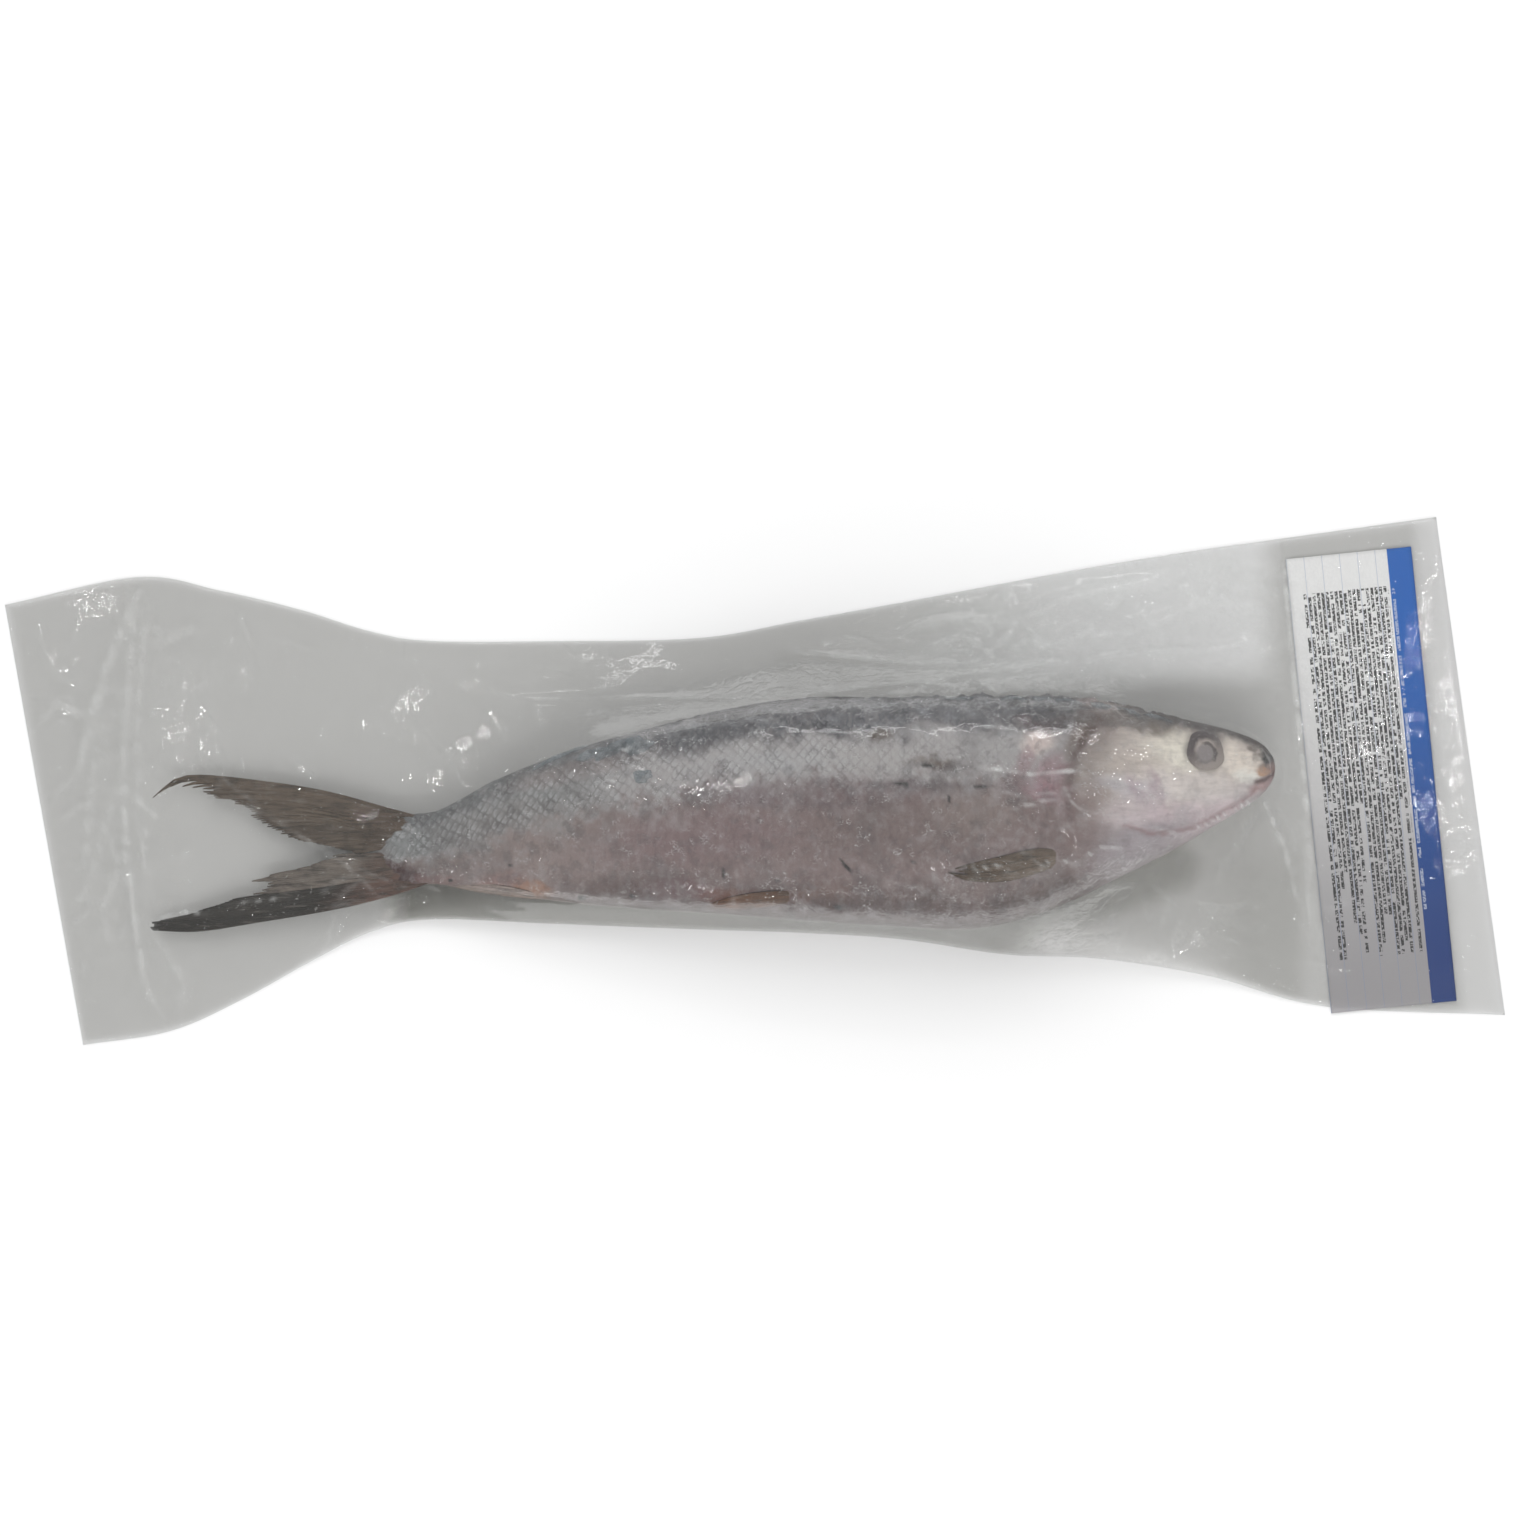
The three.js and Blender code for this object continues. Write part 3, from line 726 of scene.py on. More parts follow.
# Patches of colour on the upper side: x, y, half length, half height, turn in degrees, colour, strength.
PATCHES = [
    (-20, 26, 26, 5, 22, (86, 87, 90), 0.75),
    (10, 29, 22, 5, 8, (84, 84, 88), 0.7),
    (34, 24, 8, 3, -16, (70, 70, 74), 0.8),
    (48, 30, 8, 3, -30, (76, 76, 80), 0.7),
    (60, 29, 30, 5, 0, (98, 98, 102), 0.6),
    (66, 32, 5, 2.4, 10, (66, 66, 70), 0.7),
    (95, 30, 24, 5, 0, (108, 108, 111), 0.6),
    (57.5, 21.2, 5, 2.6, -10, (84, 74, 66), 0.8),
    (80, 9.2, 11, 2.4, -2, (92, 80, 72), 0.8),
    (86, 6.8, 6, 1.6, 0, (80, 68, 60), 0.6),
    (76, -2, 22, 3.5, -2, (104, 98, 100), 0.6),
    (8, 9, 34, 4.5, 3, (166, 165, 166), 0.7),
    (52, 11, 26, 6, 0, (166, 163, 162), 0.6),
    (108, 16, 18, 8, 0, (156, 154, 154), 0.65),
    (-84, 4, 30, 5, 14, (148, 138, 136), 0.5),
    (129.5, 18.5, 8, 5.0, 15, (206, 192, 187), 0.85),
    (125, 27, 8, 2.6, -10, (96, 84, 86), 0.8),
    (138, 27, 12, 3.4, 6, (92, 84, 86), 0.7),
    (124, 10, 7, 4, 60, (146, 122, 126), 0.65),
    (134, 4, 10, 6, 60, (152, 128, 133), 0.75),
    (130, -5, 10, 5, -20, (144, 118, 124), 0.7),
    (140, -10, 5, 7, -10, (150, 136, 138), 0.5),
    (119, 0, 8, 5, 30, (124, 110, 112), 0.6),
    (150, 4, 5, 12, -8, (160, 150, 146), 0.55),
    (152, 12, 11, 14, -20, (140, 132, 128), 0.7),
    (147, 20, 4.0, 9, -32, (104, 92, 86), 0.7),
    (160, 27.5, 20, 3.4, -8, (92, 86, 84), 0.8),
    (180, 26, 16, 3.2, -16, (100, 92, 86), 0.75),
    (196, 13, 22, 9, -4, (226, 217, 206), 0.9),
    (172, 7, 18, 12, 0, (186, 178, 172), 0.6),
    (222, 9, 11, 7, -32, (218, 209, 200), 0.9),
    (196, -3, 30, 8, -4, (210, 203, 200), 0.8),
    (224.5, 2.2, 5.6, 4.0, -10, (226, 220, 214), 0.9),
    (120, 36.0, 8, 1.8, 2, (66, 60, 62), 0.75),
    (146, 34.6, 12, 1.8, -6, (62, 55, 57), 0.8),
    (172, 30.2, 9, 1.7, -14, (66, 60, 60), 0.75),
    (235.2, 12.0, 4.6, 5.4, -34, (46, 38, 36), 1.0),
    (231.5, 15.5, 5.0, 2.2, -34, (82, 74, 70), 0.7),
    (233.5, 4.6, 3.2, 3.0, -30, (172, 136, 112), 0.8),
    (237.6, 4.4, 3.0, 4.4, 0, (124, 90, 86), 0.8),
    (231, -2.5, 7, 2.6, 24, (168, 134, 132), 0.6),
    (170, -3, 16, 5, -12, (176, 174, 180), 0.6),
    (178, -8, 14, 3.0, -55, (158, 138, 148), 0.6),
    (184, -6, 12, 2.4, -60, (150, 130, 140), 0.6),
    (196, -14, 26, 5.5, 6, (200, 186, 189), 0.65),
    (172, -12, 16, 8, 20, (194, 184, 187), 0.6),
    (206, -18, 22, 4.0, 26, (194, 178, 181), 0.6),
    (178, -27, 28, 7, 22, (148, 141, 145), 0.7),
    (-176, -30, 7, 9, 10, (116, 113, 110), 0.7),
    (-164, -45, 17, 6.4, -8, (76, 36, 36), 1.0),
    (-174, -40, 8, 5.0, 30, (80, 48, 46), 0.9),
    (-147, -46, 12, 3.5, 0, (126, 100, 98), 0.6),
    (-103, -49.5, 9, 4.0, -10, (146, 110, 88), 0.7),
    (-116, -46, 12, 5.0, 14, (134, 108, 104), 0.6),
    (-12, -53, 14, 4.5, -4, (104, 74, 48), 0.8),
    (8, -53, 16, 4.0, -3, (88, 66, 56), 0.85),
    (-34, -50, 18, 5, 0, (118, 96, 98), 0.5),
    (30, -50, 14, 4, 0, (112, 94, 88), 0.4),
    (118, -44, 30, 8, 9, (118, 108, 106), 0.5),
    (34, -6, 40, 7, 0, (108, 96, 98), 0.55),
    (-8, -6, 22, 6, 0, (116, 104, 108), 0.45),
    (-30, -26, 46, 12, 4, (126, 108, 110), 0.45),
    (-105, -24, 40, 16, 6, (132, 120, 117), 0.35),
    (66, -24, 40, 14, 0, (112, 101, 99), 0.45),
    (100, -14, 20, 10, 0, (134, 124, 120), 0.5),
]
# Small dark marks on the flank: x, y, half length, half height, turn.
MARKS = [
    (62.5, -1.6, 6.0, 0.5, 6), (68.6, -1.6, 1.4, 1.1, 0), (41.4, -38.5, 4.4, 0.7, -48),
    (38, -57.5, 2.2, 1.3, -20), (38.2, -52.0, 0.5, 1.8, 0), (-56, -52.5, 1.4, 0.9, 0),
    (-79, -53.4, 2.2, 1.2, 0), (-139.5, -45.5, 1.2, 0.8, 10), (-112, -38.5, 1.0, 0.8, 0),
    (78, 7.5, 3.4, 0.8, -4), (88, -8, 0.8, 1.6, 10), (-14, -42, 0.8, 2.6, 0), (10, -45.4, 1.4, 0.8, 20),
    (72, -37.0, 0.8, 0.8, 0), (103, -2.6, 4.2, 0.7, -6),
]
MARK_TONE = (44, 41, 43)


def patch_weight(x, y, patch_x, patch_y, half_length, half_height, turn, soft=0.9):
    angle = math.radians(turn)
    along = (x - patch_x) * math.cos(angle) + (y - patch_y) * math.sin(angle)
    across = (y - patch_y) * math.cos(angle) - (x - patch_x) * math.sin(angle)
    reach = np.hypot(along / half_length, across / half_height)
    return 1 - smoothstep(1 - soft * 0.6, 1 + soft * 0.5, reach)


def blend_tone(tones, colour, weight, look=under_film):
    return tones * (1 - weight[:, None]) + look(*colour) * weight[:, None]


def skin_tones(x, y, wander, fray):
    """The skin's colour at each point, without its scales: the broad bands, then the patches."""
    middle_y, depth, _, _ = section_at(x)
    height = (y - middle_y) / depth + 0.10 * wander + 0.05 * fray
    trunk = 1 - smoothstep(140, 158, x)
    tones = np.tile(under_film(124, 111, 110), (len(x), 1))
    tones = blend_tone(tones, (136, 125, 123), 1 - smoothstep(-110, -30, x))
    tones = blend_tone(tones, (124, 114, 112), 1 - smoothstep(-150, -120, x))
    tones = blend_tone(tones, (92, 82, 81), fall(-0.90, -0.50, height) * smoothstep(-120, -60, x))
    band_low = np.interp(x, [-180, -140, -90, -20, 40, 90, 130], [-0.50, -0.14, 0.10, 0.16, 0.22, 0.24, 0.26])
    soft = 0.17 + 0.14 * np.clip(wander + 0.3, 0, 1)
    band = smoothstep(band_low - soft, band_low + soft, height + 0.16 * fray) * fall(0.64, 0.84, height)
    tail_side = 1 - smoothstep(-100, -50, x)
    tones = blend_tone(tones, (160, 157, 157), band * trunk)
    tones = blend_tone(tones, (128, 130, 130), band * tail_side)
    back = smoothstep(0.58, 0.80, height) * trunk
    tones = blend_tone(tones, (94, 94, 97), back)
    tones = blend_tone(tones, (108, 110, 111), back * tail_side)
    head = smoothstep(144, 178, x)
    tones = blend_tone(tones, (188, 179, 173), head * smoothstep(-0.5, -0.1, height))
    tones = blend_tone(tones, (158, 151, 154), head * fall(-0.5, -0.1, height))
    tones = blend_tone(tones, (92, 88, 87), head * smoothstep(0.74, 0.96, height))
    shifted_x = x + 2.6 * wander + 2.0 * fray
    shifted_y = y + 1.8 * wander + 1.6 * fray
    for *patch, colour, strength in PATCHES:
        tones = blend_tone(tones, colour, patch_weight(shifted_x, shifted_y, *patch) * strength)
    for mark in MARKS:
        tones = blend_tone(tones, MARK_TONE, patch_weight(x, y, *mark, soft=0.5))
    from_eye = np.hypot(x - EYE_X, y - EYE_Y) + 0.8 * fray
    above = smoothstep(-9, 6, 0.8 * (y - EYE_Y) - 0.6 * (x - EYE_X))
    ring = fall(EYE_RADIUS - 2.8, EYE_RADIUS + 2.4, from_eye)
    tones = blend_tone(tones, EYE_RING_TONE, ring * (0.25 + 0.7 * above))
    # Dark lines along the gill, jaw and mouth edges: partly their own colour, partly painted shade in the
    # grooves there.
    gill_strength = np.interp(y, [-39, -20, -8, 4, 14], [0.15, 0.12, 0.45, 0.35, 0.75]) * (1 + fray)
    for path, width, colour, strength in (
        (GILL_EDGE, 2.4, (92, 78, 76), gill_strength),
        (JAW_EDGE, 1.3, (140, 118, 120), 0.5 + 0.5 * fray),
        (MOUTH_EDGE, 1.1, (92, 66, 62), 0.75),
    ):
        distance, _ = distance_to_path(x, y + 0.8 * fray, path)
        tones = blend_tone(tones, colour, np.clip(strength * np.exp(-((distance / width) ** 2)), 0, 1))
    return tones


def hidden_tones(x, y, wander):
    """The side that the fish froze on: the same bands, paler, with less blood."""
    middle_y, depth, _, _ = section_at(x)
    height = (y - middle_y) / depth + 0.10 * wander
    tones = np.tile(linear(158, 150, 148), (len(x), 1))
    for colour, weight in (
        ((112, 112, 116), smoothstep(0.45, 0.75, height)),
        ((176, 168, 166), fall(-0.8, -0.5, height)),
        ((196, 186, 176), smoothstep(146, 160, x) * fall(0.6, 0.9, height)),
        ((74, 68, 66), smoothstep(232, 238, x)),
        # The gill line on this side: partly its own colour, partly painted shade in its groove.
        ((96, 84, 82), np.exp(-((distance_to_path(x, y, GILL_EDGE)[0] / 2.6) ** 2)) * 0.7),
    ):
        tones = blend_tone(tones, colour, weight, linear)
    return tones


def make_fish_body(material):
    columns = int((SNOUT_X - TAIL_END_X) / BODY_STEP)
    around = BODY_POINTS_AROUND
    bm, shares = sheet_grid(columns, around)
    # Points gather a little towards the snout and the tail, where the section turns quickly.
    even = shares[:, 0]
    along = (1 - BODY_GATHERING) * even + BODY_GATHERING * (1 - np.cos(np.pi * even)) / 2
    x = TAIL_END_X + (SNOUT_X - TAIL_END_X) * along
    angle = 2 * np.pi * shares[:, 1] - np.pi / 2
    middle_y, depth, width, middle_z = section_at(x)
    from_middle = np.abs(2 * even - 1)
    closing = np.sqrt(np.clip(1 - ((from_middle - CLOSED_FROM) / 0.008).clip(0, 1) ** 2, 0, 1))
    rounded = np.where(from_middle > CLOSED_FROM, closing, 1.0)
    side = np.where(np.sin(angle) >= 0, 1, -1)
    fullness = np.where(side > 0, UPPER_FULLNESS, LOWER_FULLNESS)
    power = 2 / fullness
    cos_part = np.sign(np.cos(angle)) * np.abs(np.cos(angle)) ** power
    sin_part = np.sign(np.sin(angle)) * np.abs(np.sin(angle)) ** power
    y = middle_y + depth * cos_part * rounded
    z = middle_z + width * sin_part * rounded

    # Arc lengths from the back give the scales their even size, in rows that run along the back.
    order = np.lexsort((shares[:, 1], np.round(shares[:, 0] * columns).astype(int)))
    rows = order.reshape(columns + 1, around + 1)
    step = np.hypot(np.diff(y[rows], axis=1), np.diff(z[rows], axis=1))
    arc = np.concatenate([np.zeros((columns + 1, 1)), np.cumsum(step, axis=1)], axis=1)
    arc -= arc[:, [around // 4]]
    across = np.empty(len(x))
    across[rows] = arc / SCALE_ACROSS
    lengthways = x / SCALE_ALONG

    scaled = fall(GILL_X - 4, GILL_X + 3, x) * smoothstep(-179, -170, x)
    middle_height = (y - middle_y) / depth
    rise = np.interp(x, [-180, -140, -90, -20, 40, 90, 130], [-0.34, -0.02, 0.24, 0.30, 0.28, 0.28, 0.3])
    strong = smoothstep(rise - 0.26, rise + 0.14, middle_height)
    strong = strong * (1 - 0.6 * smoothstep(0.6, 0.85, middle_height))
    strong *= np.interp(x, [-182, -168, -60, 20, 60, 100, 140], [0.35, 1.0, 0.85, 0.75, 0.42, 0.25, 0.12])
    scaled_tone = scaled * (0.10 + 0.90 * strong)
    relief = np.where(side > 0, body_relief(x, y, 1), body_relief(x, y, -1))
    # The scales run out before the seam underneath, so that its two sides meet.
    from_seam = smoothstep(0, 0.012, np.minimum(shares[:, 1], 1 - shares[:, 1]))
    plates = scale_height(lengthways, across) - 0.5
    relief += SCALE_RELIEF * plates * scaled * (0.2 + 0.8 * strong) * from_seam
    relief *= rounded
    normal_y = np.sign(cos_part) * np.abs(cos_part) ** (fullness - 1) / depth
    normal_z = np.sign(sin_part) * np.abs(sin_part) ** (fullness - 1) / width
    length = np.hypot(normal_y, normal_z) + 1e-9
    y = y + relief * normal_y / length
    z = np.maximum(z + relief * normal_z / length, FISH_LOWEST)

    # An eye socket on each side.
    from_eye = np.hypot(x - EYE_X, y - EYE_Y)
    z = z - side * SOCKET_DEPTH * fall(EYE_RADIUS - 4.0, EYE_RADIUS - 1.6, from_eye) * (width > 6)

    place_points(bm, x, y, z)
    set_uvs(bm, lengthways, across)
    wander = noise_field(x, y, 15.0, 4, 1.5)
    fray = noise_field(x, y, 4.0, 3, 9.5)
    tones = np.where((side > 0)[:, None], skin_tones(x, y, wander, fray), hidden_tones(x, y, wander))
    frost_line = smoothstep(0.5, 0.95, middle_height) * smoothstep(-60, 60, x) * fall(165, 190, x)
    frost = 0.26 + 0.36 * frost_line + 0.35 * patch_weight(x, y, -70, 20, 30, 8, 22)
    tone_layer = bm.verts.layers.float_vector.new("tone_store")
    value_layer = bm.verts.layers.float_vector.new("value_store")
    for vert, tone, a, b in zip(bm.verts, tones, scaled_tone, frost):
        vert[tone_layer] = tone
        vert[value_layer] = (a, b, 0)
    bmesh.ops.remove_doubles(bm, verts=bm.verts, dist=0.02)
    bmesh.ops.recalc_face_normals(bm, faces=bm.faces)
    bm.verts.ensure_lookup_table()
    tones = np.array([v[tone_layer] for v in bm.verts])
    values = np.array([v[value_layer] for v in bm.verts])
    bm.verts.layers.float_vector.remove(tone_layer)
    value_layer = bm.verts.layers.float_vector["value_store"]
    bm.verts.layers.float_vector.remove(value_layer)
    piece = finish_mesh(bm, "fish_skin", material)
    paint(piece, "tone", tones)
    paint(piece, "scaled", values[:, 0])
    paint(piece, "frost", values[:, 1])
    return hand_over(piece, "fish_skin", "fish_body")


def make_eye(side, material):
    """A flattened ball in its socket, facing out of the head."""
    bm = bmesh.new()
    bmesh.ops.create_uvsphere(bm, u_segments=64, v_segments=32, radius=1)
    bmesh.ops.scale(bm, vec=(EYE_RADIUS, EYE_RADIUS, EYE_HALF_THICK), verts=bm.verts)
    centre = Vector((EYE_X, EYE_Y, float(flank_point(EYE_X, EYE_Y, side))))
    ahead = Vector((EYE_X + 4, EYE_Y, float(flank_point(EYE_X + 4, EYE_Y, side)))) - centre
    above = Vector((EYE_X, EYE_Y + 4, float(flank_point(EYE_X, EYE_Y + 4, side)))) - centre
    facing = ahead.cross(above).normalized() * side
    turn = Vector((0, 0, 1)).rotation_difference(facing).to_matrix()
    bmesh.ops.transform(bm, matrix=turn.to_4x4(), verts=bm.verts)
    bmesh.ops.translate(bm, vec=centre - facing * EYE_SUNK, verts=bm.verts)
    name = "eyeball_right" if side > 0 else "eyeball_left"
    piece = finish_mesh(bm, name, material)
    return hand_over(piece, "eye_tissue", "eye_right" if side > 0 else "eye_left")


# ---------------------------------------------------------------- fins

TAIL_HEIGHT = 9.1
TAIL_TILT = 0.041
TAIL_ROOT_X = -176.0


# Routes of the tail's guiding rays, from inside the body to the tip, each with its share of the way across
# its group. The rays between them are blended from their neighbours.
UPPER_LOBE = [
    (0.0, [
        (-150, -17.5), (-165.6, -13.4), (-197, -5.0), (-223.6, -0.8), (-255, 2.4),
        (-266, 0.8), (-276.5, -7.6),
    ]),
    (0.07, [
        (-151, -18.5), (-166, -14.8), (-197, -6.6), (-223.6, -2.4), (-250, 0.8), (-264, -0.2), (-274.5, -6.4),
    ]),
    (0.16, [(-153, -20), (-168, -17.4), (-197, -9.6), (-223, -5.4), (-257, -3.8)]),
    (0.45, [(-158, -23), (-173, -21.6), (-197, -16), (-215, -14.4), (-236.6, -15.5)]),
    (0.72, [(-164, -26.5), (-178, -25.6), (-192, -23.8), (-206, -23.8), (-221, -25.6)]),
    (1.0, [(-170, -31), (-178, -31.6), (-184, -32.2), (-187, -32.6), (-191, -32.8)]),
]
LOWER_INNER = [
    (0.0, [(-170, -33), (-178, -33.6), (-186, -34), (-190, -34.2), (-194, -34.6)]),
    (0.4, [(-167, -35.6), (-182, -36.8), (-198, -38.2), (-206, -39), (-213, -40)]),
    (0.75, [(-164, -38), (-182, -40.4), (-205, -43.2), (-224, -45.6), (-239, -47.4)]),
    (1.0, [(-160, -41.4), (-180, -45.8), (-205, -50.2), (-230, -53.2), (-251, -54.6)]),
]
LOWER_LOBE = [
    (0.0, [(-158, -41), (-180, -46), (-205, -50.6), (-222, -52.8), (-240, -54.4)]),
    (0.4, [(-155, -43), (-178, -49.2), (-205, -54), (-236, -58), (-262, -61.6)]),
    (0.65, [(-152, -45), (-175, -51.6), (-205, -57), (-240, -61.8), (-279, -65.0)]),
    (1.0, [(-150, -46.5), (-166, -52), (-192, -58.4), (-228.7, -64.6), (-257, -68.8), (-277.5, -68.4)]),
]
# Each group of rays: its guides, how many rays, how ragged its tips are, its colour at the tip and at the
# root, and how far it is lifted.
TAIL_GROUPS = [
    (UPPER_LOBE, 44, 7.0, (99, 90, 82), (96, 86, 79), 0.0),
    (LOWER_INNER, 22, 16.0, (112, 105, 99), (100, 88, 82), -0.5),
    (LOWER_LOBE, 24, 3.0, (66, 55, 42), (104, 86, 80), 0.0),
]
RAY_STATIONS = 22


def smooth_route(points, stations):
    """Evenly spaced places along a smooth curve through the points."""
    points = np.array(points, float)
    travelled = np.concatenate([[0], np.cumsum(np.hypot(*np.diff(points, axis=0).T))])
    table = np.column_stack([travelled, points])
    spots = np.linspace(0, travelled[-1], stations)
    return np.column_stack([read_curve(table, 1, spots), read_curve(table, 2, spots)])


def ray_routes(guides, count, ragged, rng):
    """Every ray of one group, with its half width at each station."""
    shares = [share for share, _ in guides]
    routes = np.array([smooth_route(points, RAY_STATIONS) for _, points in guides])
    places = np.linspace(0, 1, count)
    fan = np.empty((count, RAY_STATIONS, 2))
    for station in range(RAY_STATIONS):
        for axis in range(2):
            fan[:, station, axis] = np.interp(places, shares, routes[:, station, axis])
    spacing = np.hypot(*np.moveaxis(np.diff(fan, axis=0), -1, 0))
    spacing = np.vstack([spacing, spacing[-1:]])
    travelled = np.linspace(0, 1, RAY_STATIONS)
    clumps = np.repeat(rng.uniform(0, ragged, count // 4 + 1), 4)[:count]
    stations = np.arange(RAY_STATIONS)
    rays = []
    for i in range(count):
        length = np.hypot(*np.diff(fan[i], axis=0).T).sum()
        torn = 0.4 * rng.uniform(0, ragged) + clumps[i]
        cut_short = 1 - torn / length * min(1, 12 * places[i])
        spots = travelled * cut_short * (RAY_STATIONS - 1)
        path = np.column_stack([np.interp(spots, stations, fan[i, :, axis]) for axis in range(2)])
        taper = 1 - 0.9 * travelled ** rng.uniform(5, 9)
        width = np.clip(0.66 * spacing[i], 0.34, 1.5) * taper * rng.uniform(0.85, 1.15)
        rays.append((path, width))
    return rays


def add_ray(bm, path, widths, lift, tones, layer, rng):
    """One fin ray: a narrow strip with a raised middle, from the fin's root to its tip."""
    uv = bm.loops.layers.uv.verify()
    strip = bmesh.ops.create_grid(bm, x_segments=RAY_STATIONS - 1, y_segments=4, size=0.5)["verts"]
    tangents = np.gradient(path, axis=0)
    tangents /= np.linalg.norm(tangents, axis=1)[:, None]
    phase = rng.uniform(0, 6.28)
    shares = np.linspace(0, 1, RAY_STATIONS)
    lying = TAIL_HEIGHT + TAIL_TILT * (path[:, 0] - TAIL_ROOT_X) + lift
    on_skin = flank_point(path[:, 0], path[:, 1], 1, -0.9 + 1.5 * smoothstep(0, 0.2, shares))
    base = lying + np.maximum(on_skin - lying, 0) * smoothstep(-187, -177, path[:, 0])
    for vert in strip:
        i = int(round((vert.co.x + 0.5) * (RAY_STATIONS - 1)))
        across = vert.co.y * 2
        spot = path[i] + np.array((-tangents[i][1], tangents[i][0])) * across * widths[i]
        share = i / (RAY_STATIONS - 1)
        crest = 0.34 * (1 - across**2) * (1 - 0.4 * share)
        ripple = 0.3 * math.sin(7 * share + phase) * share
        for loop in vert.link_loops:
            loop[uv].uv = (share, 0.5 + across / 2)
        vert.co = (spot[0], spot[1], base[i] + crest + ripple)
        vert[layer] = tones[0] + (tones[1] - tones[0]) * smoothstep(0.12, 0.45, share)


def make_tail(material):
    rng = np.random.default_rng(SEED)
    bm = bmesh.new()
    layer = bm.verts.layers.float_vector.new("tone_store")
    for guides, count, ragged, colour, root_colour, lift in TAIL_GROUPS:
        drift = 1.0
        for index, (path, width) in enumerate(ray_routes(guides, count, ragged, rng)):
            drift = 0.7 * drift + 0.3 * rng.uniform(0.5, 1.5)
            tones = (under_film(*root_colour) * drift, under_film(*colour) * drift)
            add_ray(bm, path, width, lift + 0.10 * (index % 3), tones, layer, rng)
    bm.verts.ensure_lookup_table()
    tones = np.array([v[layer] for v in bm.verts])
    bm.verts.layers.float_vector.remove(layer)
    piece = finish_mesh(bm, "tail_rays", material)
    paint(piece, "tone", tones)
    thicken(piece, 0.35)
    return hand_over(piece, "dark_fin", "tail_fin")


def thicken(piece, millimetres, offset=0.0):
    wall = piece.modifiers.new("wall", "SOLIDIFY")
    wall.thickness = millimetres * MM
    wall.offset = offset
    wall.use_even_offset = False
    return piece


def make_side_fin(name, rows, side, tone_root, tone_tip, material, nodes, slot, rays):
    """A paired fin pressed against the flank, ridged by its rays, with a ragged free end."""
    rng = np.random.default_rng(SEED + len(name))
    table = np.array(rows, float)
    along_steps, across_steps = 60, rays * 4
    bm, shares = sheet_grid(along_steps, across_steps)
    tip_x, root_x = table[0, 0], table[-1, 0]
    ray_number = np.clip((shares[:, 1] * rays).astype(int), 0, rays - 1)
    ragged = rng.uniform(0, 9, rays)[ray_number]
    x = tip_x + (root_x - tip_x) * shares[:, 0]
    x = x + ragged * (1 - shares[:, 0]) ** 3
    low, high = read_curve(table, 1, x), read_curve(table, 2, x)
    y = low + (high - low) * shares[:, 1]
    ridge = np.abs(np.sin(np.pi * shares[:, 1] * rays)) ** 0.7
    edge = np.minimum(1, 5 * np.minimum(shares[:, 1], 1 - shares[:, 1]))
    root = smoothstep(0.80, 1.0, shares[:, 0])
    rise = 0.22 + (0.62 + 0.22 * ridge + 0.35 * np.sin(np.pi * shares[:, 0])) * edge
    rise = rise * (1 - root) - 0.9 * root
    z = flank_point(x, y, side, rise)
    place_points(bm, x, y, z)
    bmesh.ops.recalc_face_normals(bm, faces=bm.faces)
    piece = finish_mesh(bm, name, material)
    mottled = 1 + 0.25 * noise_field(x, y, 6.0, 3, 5.0)
    share = shares[:, 0][:, None]
    tones = under_film(*tone_tip) * (1 - share) + under_film(*tone_root) * share
    paint(piece, "tone", tones * mottled[:, None])
    thicken(piece, 0.3)
    return hand_over(piece, slot, *nodes)


def make_folded_fin(name, tip_x, root_x, height, sign, tone, material, node, slot):
    """A fin folded down along the back or the belly: overlapping rays that lie nearly along the body."""
    rng = np.random.default_rng(SEED + 7 * len(name))
    bm, shares = sheet_grid(72, 12)
    x = tip_x + (root_x - tip_x) * shares[:, 0]
    column = 1 if sign > 0 else 2
    edge_y = read_curve(SECTIONS, column, x)
    rise = height * np.sin(np.pi * np.clip(shares[:, 0] * 0.92 + 0.02, 0, 1)) ** 0.8
    steps = 0.35 * np.abs(np.sin(shares[:, 0] * 40 + shares[:, 1] * 5))
    ragged = rng.uniform(-0.25, 0.25, len(x)) * shares[:, 1]
    narrowing = np.sqrt(np.sin(np.pi * np.clip(shares[:, 0] * 0.96 + 0.02, 0, 1)))
    y = edge_y + sign * (-4.0 * narrowing + shares[:, 1] * (4.2 * narrowing + rise + ragged))
    lean = np.interp(shares[:, 1], [0, 0.5, 1], [3.4, 2.2, 0.4])
    z = read_curve(SECTIONS, 4, x) + lean + steps
    surface = flank_point(x, np.clip(y, *sorted((edge_y.min(), edge_y.max()))), 1)
    inside = (sign * (y - edge_y)) < -0.2
    z = np.where(inside, np.maximum(z, surface + 0.25), z)
    z -= 2.4 * (1 - smoothstep(0.0, 0.14, shares[:, 0]) * fall(0.84, 1.0, shares[:, 0]))
    place_points(bm, x, y, z)
    bmesh.ops.recalc_face_normals(bm, faces=bm.faces)
    piece = finish_mesh(bm, name, material)
    paint(piece, "tone", under_film(*tone) * (1 + 0.3 * noise_field(x, y, 7.0, 3, 2.0))[:, None])
    thicken(piece, 0.4)
    return hand_over(piece, slot, node)


PECTORAL = [
    (87.5, -41.6, -40.8), (97, -45.2, -37.6), (113, -45.6, -33.8), (128, -42.0, -30.6),
    (141.5, -36.4, -31.6),
]
PELVIC = [(-21, -57.0, -56.2), (-10, -58.0, -52.6), (4, -57.4, -50.4), (18, -54.6, -50.0)]


def moved_up(rows, by):
    return [(x, low + by, high + by) for x, low, high in rows]


